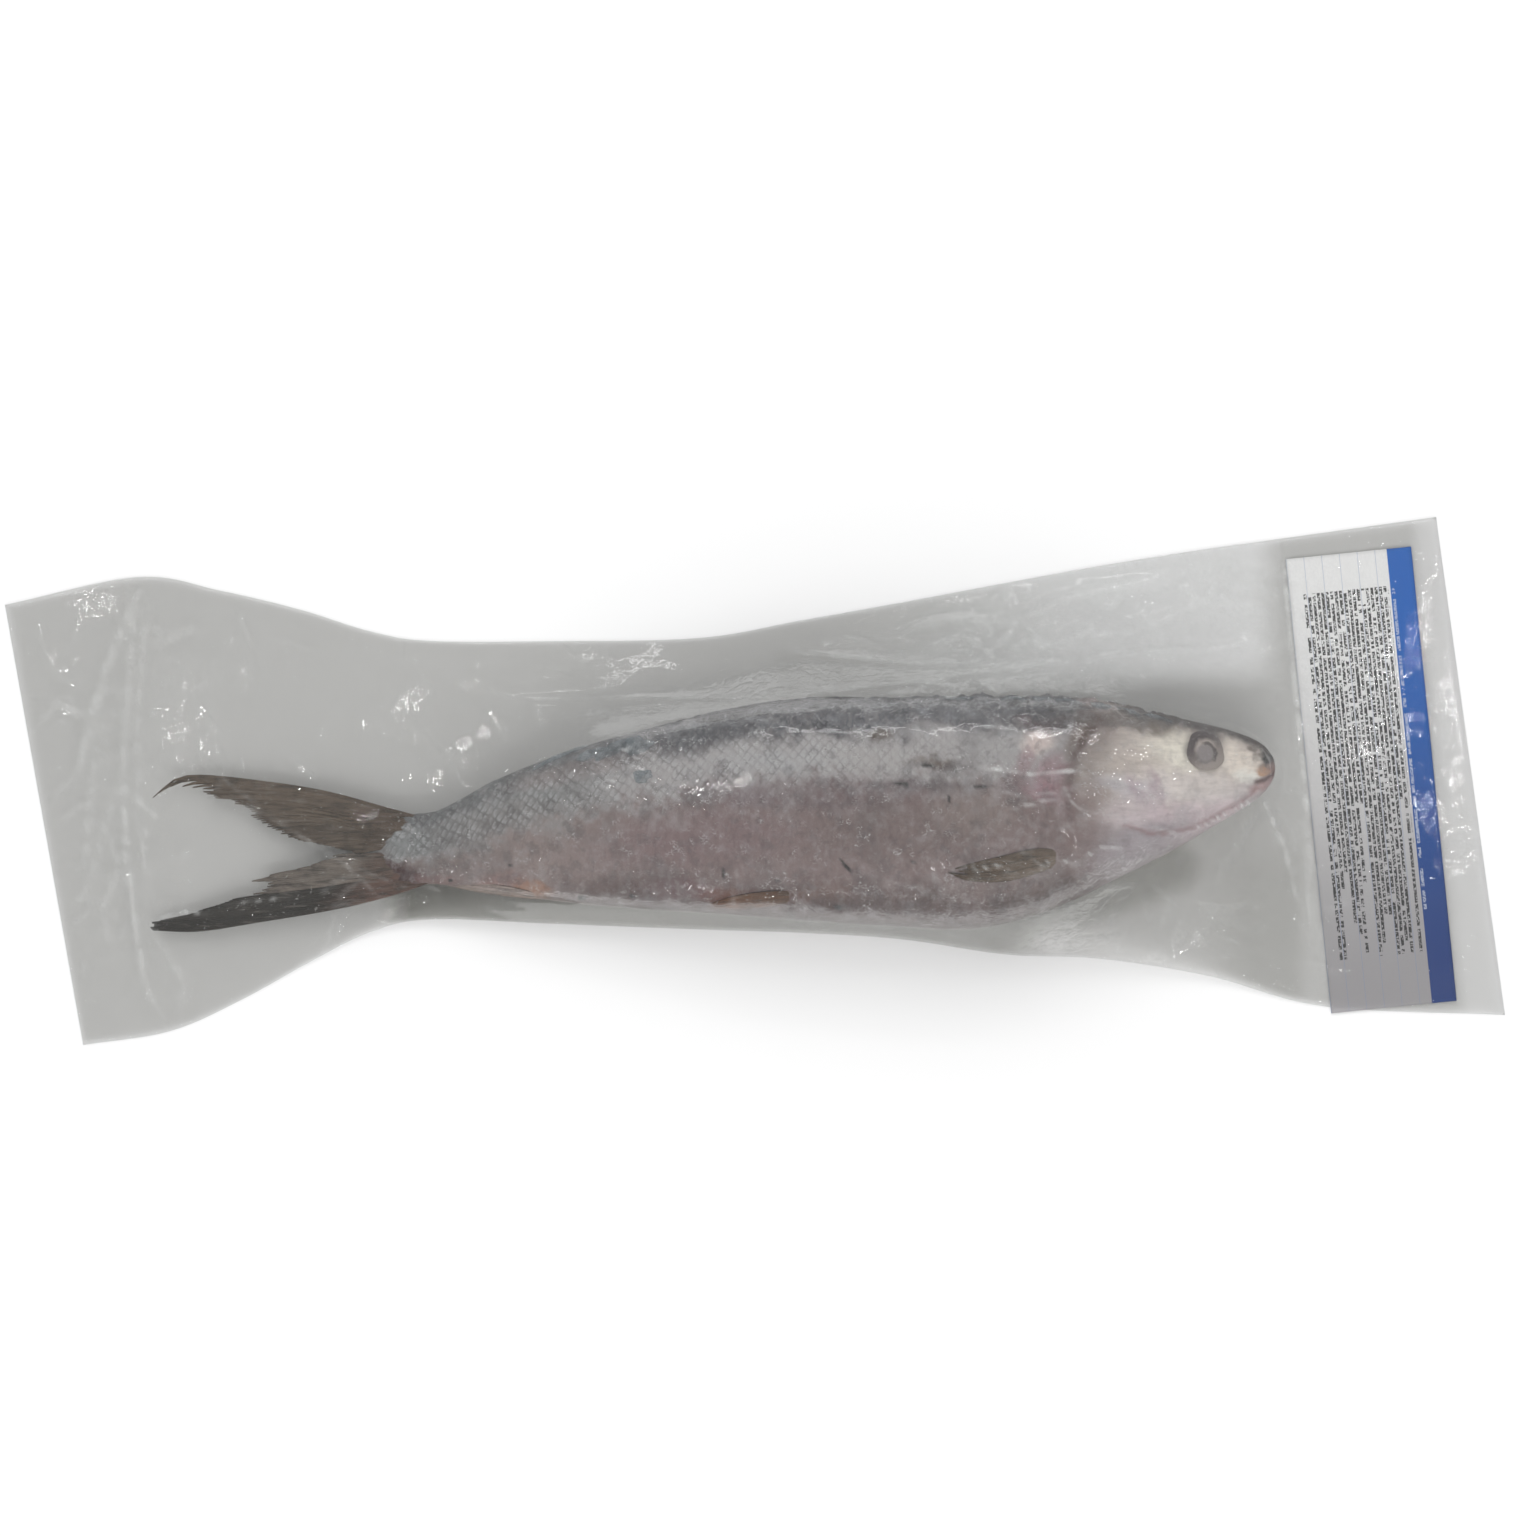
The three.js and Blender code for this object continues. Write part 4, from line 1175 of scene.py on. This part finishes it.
def make_fins():
    dark = fin_material("dark_fin", (0.020, 0.016, 0.012), (0.20, 0.18, 0.16), (0.02, 0.018, 0.016))
    warm = fin_material("belly_fin", (0.05, 0.034, 0.025), (0.20, 0.145, 0.11), (0.05, 0.036, 0.028))
    make_tail(dark)
    pectoral = ((112, 102, 94), (84, 73, 54), dark)
    make_side_fin("pectoral_rays_right", PECTORAL, 1, *pectoral, ["pectoral_fin_right"], "dark_fin", 9)
    left = moved_up(PECTORAL, -5)
    make_side_fin("pectoral_rays_left", left, -1, *pectoral, ["pectoral_fin_left"], "dark_fin", 9)
    pelvic = ((92, 76, 68), (104, 78, 54), warm)
    make_side_fin("pelvic_rays_right", PELVIC, 1, *pelvic, ["pelvic_fin_right"], "belly_fin", 6)
    left = moved_up(PELVIC, 3)
    make_side_fin("pelvic_rays_left", left, -1, *pelvic, ["pelvic_fin_left"], "belly_fin", 6)
    make_folded_fin("back_fin_rays", -36, 50, 1.5, 1, (84, 83, 86), dark, "dorsal_fin", "dark_fin")
    make_folded_fin("belly_fin_rays", -141, -97, 0.6, -1, (146, 134, 129), warm, "anal_fin", "belly_fin")


# ---------------------------------------------------------------- the bag


def bag_plan(along, across):
    """x, y and the lift of the table-side film, at shares along the bag and across it from its top edge."""
    spots = np.linspace(0, 1, len(BAG_EDGES))
    table = np.column_stack([spots, BAG_EDGES])
    top_x, top_y, bottom_x, bottom_y, rise = (read_curve(table, i, along) for i in range(1, 6))
    x = top_x + (bottom_x - top_x) * across
    y = top_y + (bottom_y - top_y) * across
    from_belly = np.hypot(top_x - bottom_x, top_y - bottom_y) * (1 - across)
    lift = np.maximum(rise, 0) * np.maximum(0, 1 - from_belly / CURL) ** 2
    return x, y, lift


def heights_over(pieces, x, y):
    """The highest point of the given finished pieces above each place, or 0 beside them."""
    graph = bpy.context.evaluated_depsgraph_get()
    trees = [BVHTree.FromObject(piece, graph) for piece in pieces]
    tops = np.zeros(len(x))
    down = Vector((0, 0, -1))
    for i in range(len(x)):
        start = Vector((x[i] * MM, y[i] * MM, 0.2))
        for tree in trees:
            hit = tree.ray_cast(start, down, 0.2)[0]
            if hit is not None:
                tops[i] = max(tops[i], hit.z / MM)
    return tops


def pull_tight(start, floor, rounds):
    """Film pulled tight: each point settles between its neighbours, unless something holds it up."""
    z = start.copy()
    for _ in range(rounds):
        settled = z.copy()
        settled[1:-1, 1:-1] = (z[:-2, 1:-1] + z[2:, 1:-1] + z[1:-1, :-2] + z[1:-1, 2:]) / 4
        settled = np.maximum(settled, floor)
        settled[[0, -1], :] = start[[0, -1], :]
        settled[:, [0, -1]] = start[:, [0, -1]]
        z = settled
    return z


# Folds in the upper film: its line, height, half width and milkiness, which is partly the crease's own
# whitening and partly a painted glint along it. A fold rises sharply to its line.
HEAD_WELD = [(242, 110), (246, 70), (250, 20), (255, -30), (260, -75), (262, -102)]
TAIL_WELD = [(-284, 93), (-290, 13), (-289, -34), (-281, -92), (-270, -114)]
FOLDS = [
    (HEAD_WELD, 1.3, 2.6, 0.55),
    ([(239, 108), (243, 66), (247, 16), (252, -34), (257, -78)], 0.9, 2.0, 0.35),
    (TAIL_WELD, 2.4, 4.5, 0.30),
    ([(-279, 90), (-284, 30), (-283, -20), (-277, -60)], 1.6, 4.0, 0.18),
    ([(-281, 92), (-295, 60), (-306, 28), (-312, -2)], 3.2, 6.0, 0.25),
    ([(-283, 88), (-300, 46), (-304, 14)], 2.4, 5.0, 0.20),
    ([(-306, 28), (-320, 36), (-334, 22)], 2.0, 5.0, 0.22),
    ([(-304, 14), (-306, -18), (-309, -42)], 1.8, 4.5, 0.2),
    ([(-291, 4), (-300, -26), (-308, -52), (-318, -62)], 1.5, 4.5, 0.16),
    ([(-286, -6), (-276, -16), (-282, -28)], 1.6, 3.5, 0.3),
    ([(-289, -34), (-300, -60), (-296, -78)], 1.2, 4.5, 0.14),
    ([(-281, -62), (-262, -92), (-266, -108)], 1.4, 5.0, 0.14),
    ([(-258, -5), (-225, -15), (-188, -38), (-165, -60)], 0.9, 2.6, 0.13),
    ([(-262, 16), (-243, 0), (-224, -14), (-202, -30)], 0.6, 2.4, 0.08),
    ([(-196, -30), (-178, -42), (-156, -50)], 0.5, 2.4, 0.06),
    ([(-160, 30), (-140, 10), (-132, -6)], 0.6, 5.0, 0.08),
    ([(-122, 38), (-60, 38), (8, 38.6)], 0.8, 2.4, 0.12),
    ([(6, 38.6), (60, 44), (120, 52), (190, 60), (231, 62.5)], 1.5, 3.0, 0.20),
    ([(12, 60), (70, 54), (130, 53), (170, 56)], 1.0, 2.8, 0.18),
    ([(60, 66), (92, 74), (118, 72), (150, 86), (200, 96)], 2.6, 6.5, 0.16),
    ([(80, 60), (96, 67), (108, 58), (122, 73), (136, 60)], 2.2, 4.5, 0.24),
    ([(136, 60), (150, 66), (164, 80), (172, 90)], 2.0, 4.6, 0.18),
    ([(104, 60), (112, 76), (118, 90)], 1.7, 4.0, 0.2),
    ([(150, 66), (180, 70), (204, 82), (226, 84)], 1.8, 5.0, 0.14),
    ([(186, 58), (212, 60), (236, 66)], 1.3, 4.5, 0.1),
    ([(196, 92), (206, 80), (214, 96)], 1.6, 4.0, 0.26),
    ([(100, 6.7), (126.7, 2.9), (142.8, 4.5), (151, 7.2)], 1.3, 1.6, 0.8),
    ([(152, 4), (161, 1.9), (170.6, -1.4), (191, -7.8)], 1.1, 1.6, 0.34),
    ([(116.6, -12.6), (134, -8.3), (139.6, -9.9)], 0.9, 1.5, 0.7),
    ([(173.8, -19.5), (193, -23.8), (206, -19.5), (230.5, -7.2)], 1.1, 1.5, 0.6),
    ([(231.6, -7.8), (238, -19.6), (244.5, -32.4)], 1.6, 1.9, 0.5),
    ([(232, -7), (243, -30), (250, -58)], 2.2, 3.2, 0.40),
    ([(232, -7), (222, -26), (212, -44)], 1.2, 3.5, 0.12),
    ([(110, -4), (122, -7), (138, -5)], 0.8, 1.6, 0.26),
    ([(100, 25.4), (121, 23.3)], 0.8, 1.5, 0.7),
    ([(86, -68), (104, -76), (118, -72)], 1.0, 3.0, 0.12),
]
CRUMPLED = [  # where short creases crowd: x, y, half length, half height, how many, height
    (160, 78, 76, 20, 70, 1.7),
    (215, 88, 26, 18, 26, 1.5),
    (-296, 0, 24, 84, 60, 1.5),
    (128, -38, 52, 12, 60, 0.75),
    (170, -6, 40, 14, 40, 0.7),
    (205, -60, 36, 26, 26, 1.2),
    (-150, -58, 60, 12, 22, 0.8),
    (-215, 44, 60, 36, 18, 0.8),
    (-90, 40, 70, 18, 14, 0.6),
    (60, -64, 90, 8, 30, 0.9),
    (252, 0, 8, 100, 70, 1.0),
    (40, 30, 110, 8, 36, 0.5),
]
# stiff points of film that stand up and catch the light; the milkiness given to them paints their glints
SHARDS = [
    [(-67, 8), (-60, 14), (-49, 18)], [(-60, 14), (-58, 5), (-49, 18), (-54, 8)],
    [(-74, 4), (-68, -3), (-63, 2), (-69, 5)], [(74, 41), (80, 45), (88, 44), (92, 39), (84, 38)],
    [(92, 39), (98, 46), (106, 44), (112, 39)], [(58, 37), (64, 39), (70, 38)],
    [(30, 62), (44, 66), (52, 62)], [(118, 60), (126, 66), (132, 60)],
    [(100, -41), (110, -38), (120, -42)], [(128, -40), (136, -35), (146, -38)],
    [(150, -34), (158, -30), (170, -31)], [(140, -2), (144, -10), (150, -14)],
    [(-279, -64), (-262, -60), (-250, -61)], [(-246, -58), (-238, -56), (-216, -53.5)],
]
FOLDS += [(path, 1.3, 1.35, 0.42) for path in SHARDS]
CLEAR_FLAP_X = 320.0
PLAIN_TINT = 0.275  # how tinted the film is where nothing changes it
# The line along which slack film lies under the throat; the film along it is darker, partly for the gathered
# film, partly as painted shade.
GATHERED = [(104, -66), (124, -60), (150, -54), (176, -46), (192, -40)]
# Finely crinkled film: x, y, half length, half height, turn, strength.
CRINKLES = [
    (118, -44, 40, 9, 14, 1.0), (158, -36, 24, 8, 18, 0.9), (126, 4, 34, 7, 0, 0.8),
    (130, -9, 18, 5, 0, 0.8), (176, -14, 34, 9, -12, 0.7), (214, -14, 22, 6, 24, 0.7),
    (120, 60, 90, 22, 6, 0.9), (210, 80, 30, 20, 0, 0.7), (-60, 14, 20, 8, 24, 1.0),
    (100, 38, 60, 5, 0, 0.9), (250, 0, 7, 100, 7, 0.7), (-280, 10, 16, 90, 0, 0.35),
    (-260, -60, 40, 8, 8, 0.5), (0, 40, 90, 4, 8, 0.5), (60, -62, 90, 5, 0, 0.35),
    (130, -76, 40, 7, 4, 0.6), (246, -36, 8, 30, 10, 0.9),
]


def short_creases(rng):
    """Lines of two or three straight stretches, scattered where the film is crumpled."""
    creases = []
    for x, y, half_length, half_height, count, height in CRUMPLED:
        for _ in range(count):
            start = np.array((x + half_length * rng.uniform(-1, 1), y + half_height * rng.uniform(-1, 1)))
            heading = rng.uniform(0, 2 * np.pi)
            path = [start]
            for _ in range(rng.integers(2, 4)):
                heading += rng.normal(0, 0.32)
                step = rng.uniform(3.5, 11)
                path.append(path[-1] + step * np.array((math.cos(heading), math.sin(heading))))
            lift = height * rng.uniform(0.35, 1.0)
            width = rng.uniform(1.6, 3.6)
            creases.append((path, lift, width, rng.uniform(0.01, 0.13)))
    return creases


def fold_film(x, y, rng):
    """How far the folds lift the film, and how much they whiten it: partly their own whitening, partly
    painted glints along them.
    """
    rise = np.zeros(np.shape(x))
    whitening_and_glint = np.zeros(np.shape(x))
    for path, height, width, fold_whitening_and_glint in FOLDS + short_creases(rng):
        near = np.array(path)
        margin = 4 * width
        box = (x > near[:, 0].min() - margin) & (x < near[:, 0].max() + margin)
        box &= (y > near[:, 1].min() - margin) & (y < near[:, 1].max() + margin)
        if not box.any():
            continue
        distance, along = distance_to_path(x[box], y[box], path)
        ends = np.clip(6 * np.minimum(along, 1 - along) + 0.15, 0, 1)
        peak = np.clip(1 - distance / width, 0, 1) ** 1.25 * ends
        rise[box] = np.maximum(rise[box], height * peak) + 0.15 * height * peak
        whitening_and_glint[box] = np.maximum(whitening_and_glint[box], fold_whitening_and_glint * np.exp(-((distance / (0.32 * width)) ** 2)) * ends)
    return rise, whitening_and_glint * np.clip(0.6 + 1.1 * noise_field(x, y, 6.0, 3, 21.0), 0.12, 1.4)


def film_tint_and_painted_light(x, y):
    """How much colour the film has: less in the flap past the label and above the back, more where it lies
    double or gathers, and painted shade beside the belly and under the head.
    """
    tint_and_painted_light = np.full(np.shape(x), PLAIN_TINT)
    band_low = np.interp(x, [6, 60, 120, 190, 231], [38.6, 44, 52, 60, 62.5])
    band_high = np.interp(x, [6, 70, 130, 231], [60, 54.5, 56, 62.5])
    doubled = smoothstep(band_low - 0.5, band_low + 0.5, y) * fall(band_high - 0.5, band_high + 0.5, y)
    tint_and_painted_light += 0.04 * doubled * smoothstep(6, 12, x) * fall(225, 232, x)
    # Clearer film above the back, where it is crumpled: painted light in place of its glints.
    tint_and_painted_light -= 0.26 * smoothstep(60, 170, x) * fall(226, 246, x) * smoothstep(40, 58, y)
    past_label = x - (CLEAR_FLAP_X - 0.1 * y - 5)
    tint_and_painted_light -= 0.15 * smoothstep(-4, 4, past_label)
    # Darker film beside the belly: painted shade, where the film also wraps round the belly.
    below_belly_shade = smoothstep(-2.5, 2.0, read_curve(SECTIONS, 2, x) - y)
    tint_and_painted_light += 0.90 * below_belly_shade * smoothstep(-176, -150, x) * fall(96, 140, x)
    # Darker film along the slack under the throat: the gathered film itself, and painted shade.
    gathered, _ = distance_to_path(x, y, GATHERED)
    tint_and_painted_light += 0.30 * fall(4, 17, gathered) * smoothstep(96, 120, x)
    # Darker film under the head's lower side: painted shade.
    tint_and_painted_light += 0.12 * smoothstep(196, 232, x) * fall(246, 256, x) * fall(-46, -20, y)
    return tint_and_painted_light


def film_crinkles(x, y):
    """Where the film is finely crinkled, from 0 to 1."""
    crinkled = np.zeros(np.shape(x))
    for *patch, strength in CRINKLES:
        crinkled = np.maximum(crinkled, patch_weight(x, y, *patch) * strength)
    return crinkled * (0.55 + 0.9 * np.clip(noise_field(x, y, 9.0, 3, 4.0) + 0.3, 0, 1))


def make_film(name, x, y, z, marks, material):
    """One film panel. marks are its stored values by name, one for each point."""
    bm, shares = sheet_grid(FILM_STEPS_ALONG, FILM_STEPS_ACROSS)
    columns = np.round(shares[:, 0] * FILM_STEPS_ALONG).astype(int)
    rows = np.round(shares[:, 1] * FILM_STEPS_ACROSS).astype(int)
    place_points(bm, x[columns, rows], y[columns, rows], z[columns, rows])
    bmesh.ops.recalc_face_normals(bm, faces=bm.faces)
    if sum(face.normal.z for face in bm.faces) < 0:
        bmesh.ops.reverse_faces(bm, faces=bm.faces)
    piece = finish_mesh(bm, name, material)
    for mark, values in marks.items():
        paint(piece, mark, values[columns, rows])
    return thicken(piece, FILM, 1.0)


def make_bag(contents):
    rng = np.random.default_rng(SEED + 3)
    along, across = np.meshgrid(
        np.linspace(0, 1, FILM_STEPS_ALONG + 1), np.linspace(0, 1, FILM_STEPS_ACROSS + 1), indexing="ij"
    )
    x, y, lift = bag_plan(along, across)
    tops = heights_over(contents, x.ravel(), y.ravel()).reshape(x.shape)
    lumps = noise_field(x, y, 62.0, 3, 2.0)
    lower = LOWER_FILM_HEIGHT + lift
    floor = np.maximum(tops + FILM_OVER_FISH, lower + FILM_OVER_FILM)
    upper = pull_tight(floor, floor, TIGHTENING_ROUNDS)
    rise, whitening_and_glint = fold_film(x, y, rng)
    # Whiter film above the back, where it is crumpled: partly its own whitening, partly painted glints.
    crumpled_whitening_and_glint = smoothstep(20, 110, x) * fall(228, 244, x) * smoothstep(38, 52, y)
    whitening_and_glint = whitening_and_glint + (0.27 + 0.14 * lumps) * crumpled_whitening_and_glint
    slack = 0.8 * np.clip(lumps + 0.35, 0, 1) * fall(0, 1.0, floor - lower - 6)
    from_side = np.minimum(across, 1 - across)
    from_end = np.minimum(along, 1 - along)
    gathered = np.minimum(from_side * 14, 1) * np.minimum(from_end * 40, 1)
    upper = np.maximum(upper + (rise + 2.2 * slack) * gathered, floor)
    tint_and_painted_light = film_tint_and_painted_light(x, y)
    rim = np.minimum(from_side * FILM_STEPS_ACROSS, from_end * FILM_STEPS_ALONG)
    tint_and_painted_light = np.clip(tint_and_painted_light, 0.02, 1) * (0.25 + 0.75 * smoothstep(0, 1.5, rim))
    clear = film_material("clear_film", (0.922, 0.922, 0.914), 0.012)
    backing = film_material("clear_film_backing", (0.70, 0.698, 0.684), 0.012)
    plain = np.zeros(x.shape)
    top_marks = {"whitening_and_glint": whitening_and_glint, "tint_and_painted_light": tint_and_painted_light, "crinkled": film_crinkles(x, y)}
    top = make_film("bag_upper_film", x, y, upper, top_marks, clear)
    bottom_marks = {"whitening_and_glint": plain, "tint_and_painted_light": tint_and_painted_light, "crinkled": plain}
    bottom = make_film("bag_lower_film", x, y, lower, bottom_marks, backing)
    hand_over(top, "clear_film", "bag_upper_panel")
    hand_over(bottom, "clear_film", "bag_lower_panel")


def make_label(material):
    bm, shares = sheet_grid(29, 105)
    across = shares[:, 0] * LABEL_WIDTH
    along = (1 - shares[:, 1]) * LABEL_LENGTH
    u = across - LABEL_WIDTH / 2
    v = LABEL_LENGTH / 2 - along
    x = LABEL_X + u * math.cos(LABEL_TURN) - v * math.sin(LABEL_TURN)
    y = LABEL_Y + u * math.sin(LABEL_TURN) + v * math.cos(LABEL_TURN)
    z = LABEL_HEIGHT + LABEL_RIPPLE * np.clip(noise_field(x, y, 46.0, 2, 6.0), 0, 1)
    set_uvs(bm, along, across)
    place_points(bm, x, y, z)
    bmesh.ops.recalc_face_normals(bm, faces=bm.faces)
    piece = finish_mesh(bm, "pocket_label", material)
    thicken(piece, 0.1)
    hand_over(piece, "label_paper", "label")


# ---------------------------------------------------------------- ice

# Flakes of ice between the fish and the film: x, y, half length, half height, turn.
ICE_FLAKES = [
    (-64, 13.5, 9, 4.2, 24), (-52, 14.5, 7, 5.0, -30), (-72, 12.0, 8, 2.6, 10), (-50, 2.0, 5, 3.0, 0),
    (118, 36.5, 6, 2.2, 0), (130, 36.8, 5, 1.8, 5), (143, 35.6, 6, 2.0, -6), (157, 33.5, 7, 2.0, -8),
    (170, 31.5, 5, 1.7, -14), (184, 28.6, 6, 1.5, -16), (-90, 10.5, 12, 1.6, 24), (96, 37, 9, 1.4, 0),
]


def make_ice(material):
    rng = np.random.default_rng(SEED + 9)
    bm = bmesh.new()
    for x, y, half_length, half_height, turn in ICE_FLAKES:
        flake = bmesh.ops.create_icosphere(bm, subdivisions=3, radius=1)["verts"]
        seed = rng.uniform(0, 50)
        z = float(flank_point(x, min(y, float(read_curve(SECTIONS, 1, x)) - 1.5), 1))
        for vert in flake:
            lump = 1 + 0.55 * noise.noise(vert.co * 1.6 + Vector((seed, 0, 0)))
            a, b, c = vert.co
            vert.co = (a * half_length * lump, b * half_height * lump, c * ICE_HALF_THICK * lump)
        bmesh.ops.rotate(bm, matrix=Matrix.Rotation(math.radians(turn), 3, "Z"), verts=flake)
        bmesh.ops.translate(bm, vec=(x, y, z + 0.2), verts=flake)
    piece = finish_mesh(bm, "ice_flakes", material, smooth=False)
    return hand_over(piece, "fish_skin")


# ---------------------------------------------------------------- room


def add_area(name, place, size, watts, mirrored):
    """A lamp aimed at the bag. One that isn't mirrored gives light without showing in the film."""
    lamp = bpy.data.lights.new(name, "AREA")
    lamp.shape = "RECTANGLE"
    lamp.size, lamp.size_y = size
    lamp.energy = watts
    light = bpy.data.objects.new(name, lamp)
    light.location = place
    light.visible_glossy = mirrored
    light.rotation_euler = (-Vector(place)).to_track_quat("-Z", "Y").to_euler()
    bpy.context.scene.collection.objects.link(light)


# Each lamp: its name, place, width and height, watts, and whether the film mirrors it.
LAMPS = [
    ("key", (0.3, -2.4, 1.7), (3.0, 3.0), 64, False),
    ("fill", (-0.4, 2.4, 1.7), (3.0, 3.0), 47, False),
    ("strip_behind", (0.1, 1.5, 1.2), (1.3, 0.09), 2.2, True),
    ("strip_before", (0.1, -1.5, 1.2), (1.3, 0.09), 0.5, True),
]
# Places of the small lamps that glint in the film's creases.
GLINTS = [
    (1.0, 0.5, 1.0), (-0.9, -0.6, 1.0), (0.3, 1.0, 1.0), (-0.7, 0.9, 0.9), (0.6, -1.0, 1.0),
    (0.2, -0.7, 1.3), (-0.5, 0.3, 1.4), (0.7, 0.1, 1.4), (-0.3, -1.2, 0.8),
]


def make_room():
    n = Nodes("pale_floor")
    shader = n.principled((0.93, 0.93, 0.93), 0.8)
    material = n.shade(shader)
    bm = bmesh.new()
    bmesh.ops.create_grid(bm, x_segments=1, y_segments=1, size=6000)
    bmesh.ops.translate(bm, vec=(0, 0, -0.05), verts=bm.verts)
    floor = finish_mesh(bm, "floor", material, smooth=False)
    world = bpy.data.worlds.new("soft_room")
    world.use_nodes = True
    world.node_tree.nodes["Background"].inputs[0].default_value = (1, 1, 1, 1)
    world.node_tree.nodes["Background"].inputs[1].default_value = 0.46
    scene = bpy.context.scene
    scene.world = world
    scene.view_settings.view_transform = "Standard"
    scene.cycles.transparent_max_bounces = 24
    for lamp in LAMPS:
        add_area(*lamp)
    for index, (x, y, z) in enumerate(GLINTS):
        add_area(f"glint_{index}", (x, y, z), (0.04, 0.04), 0.30, True)


CAMERA_HEIGHT = 4.0
VIEW_WIDTH = 0.7066
VIEW_CENTRE = (0.006, 0.006)


def make_camera():
    """A long lens straight above the bag, with the fish's head to the right."""
    data = bpy.data.cameras.new("camera")
    data.angle = 2 * math.atan(VIEW_WIDTH / 2 / CAMERA_HEIGHT)
    data.clip_end = 20
    camera = bpy.data.objects.new("camera", data)
    camera.location = (*VIEW_CENTRE, CAMERA_HEIGHT)
    bpy.context.scene.collection.objects.link(camera)
    bpy.context.scene.camera = camera


# ---------------------------------------------------------------- assembly

make_camera()
make_room()
make_fish_body(skin_material())
eyes = eye_material()
make_eye(1, eyes)
make_eye(-1, eyes)
make_fins()
make_label(label_material())
make_ice(ice_material())
bpy.context.view_layer.update()
solid_contents = [o for o in bpy.data.objects if o.get("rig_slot") and o.type == "MESH"]
make_bag(solid_contents)

bpy.context.view_layer.update()
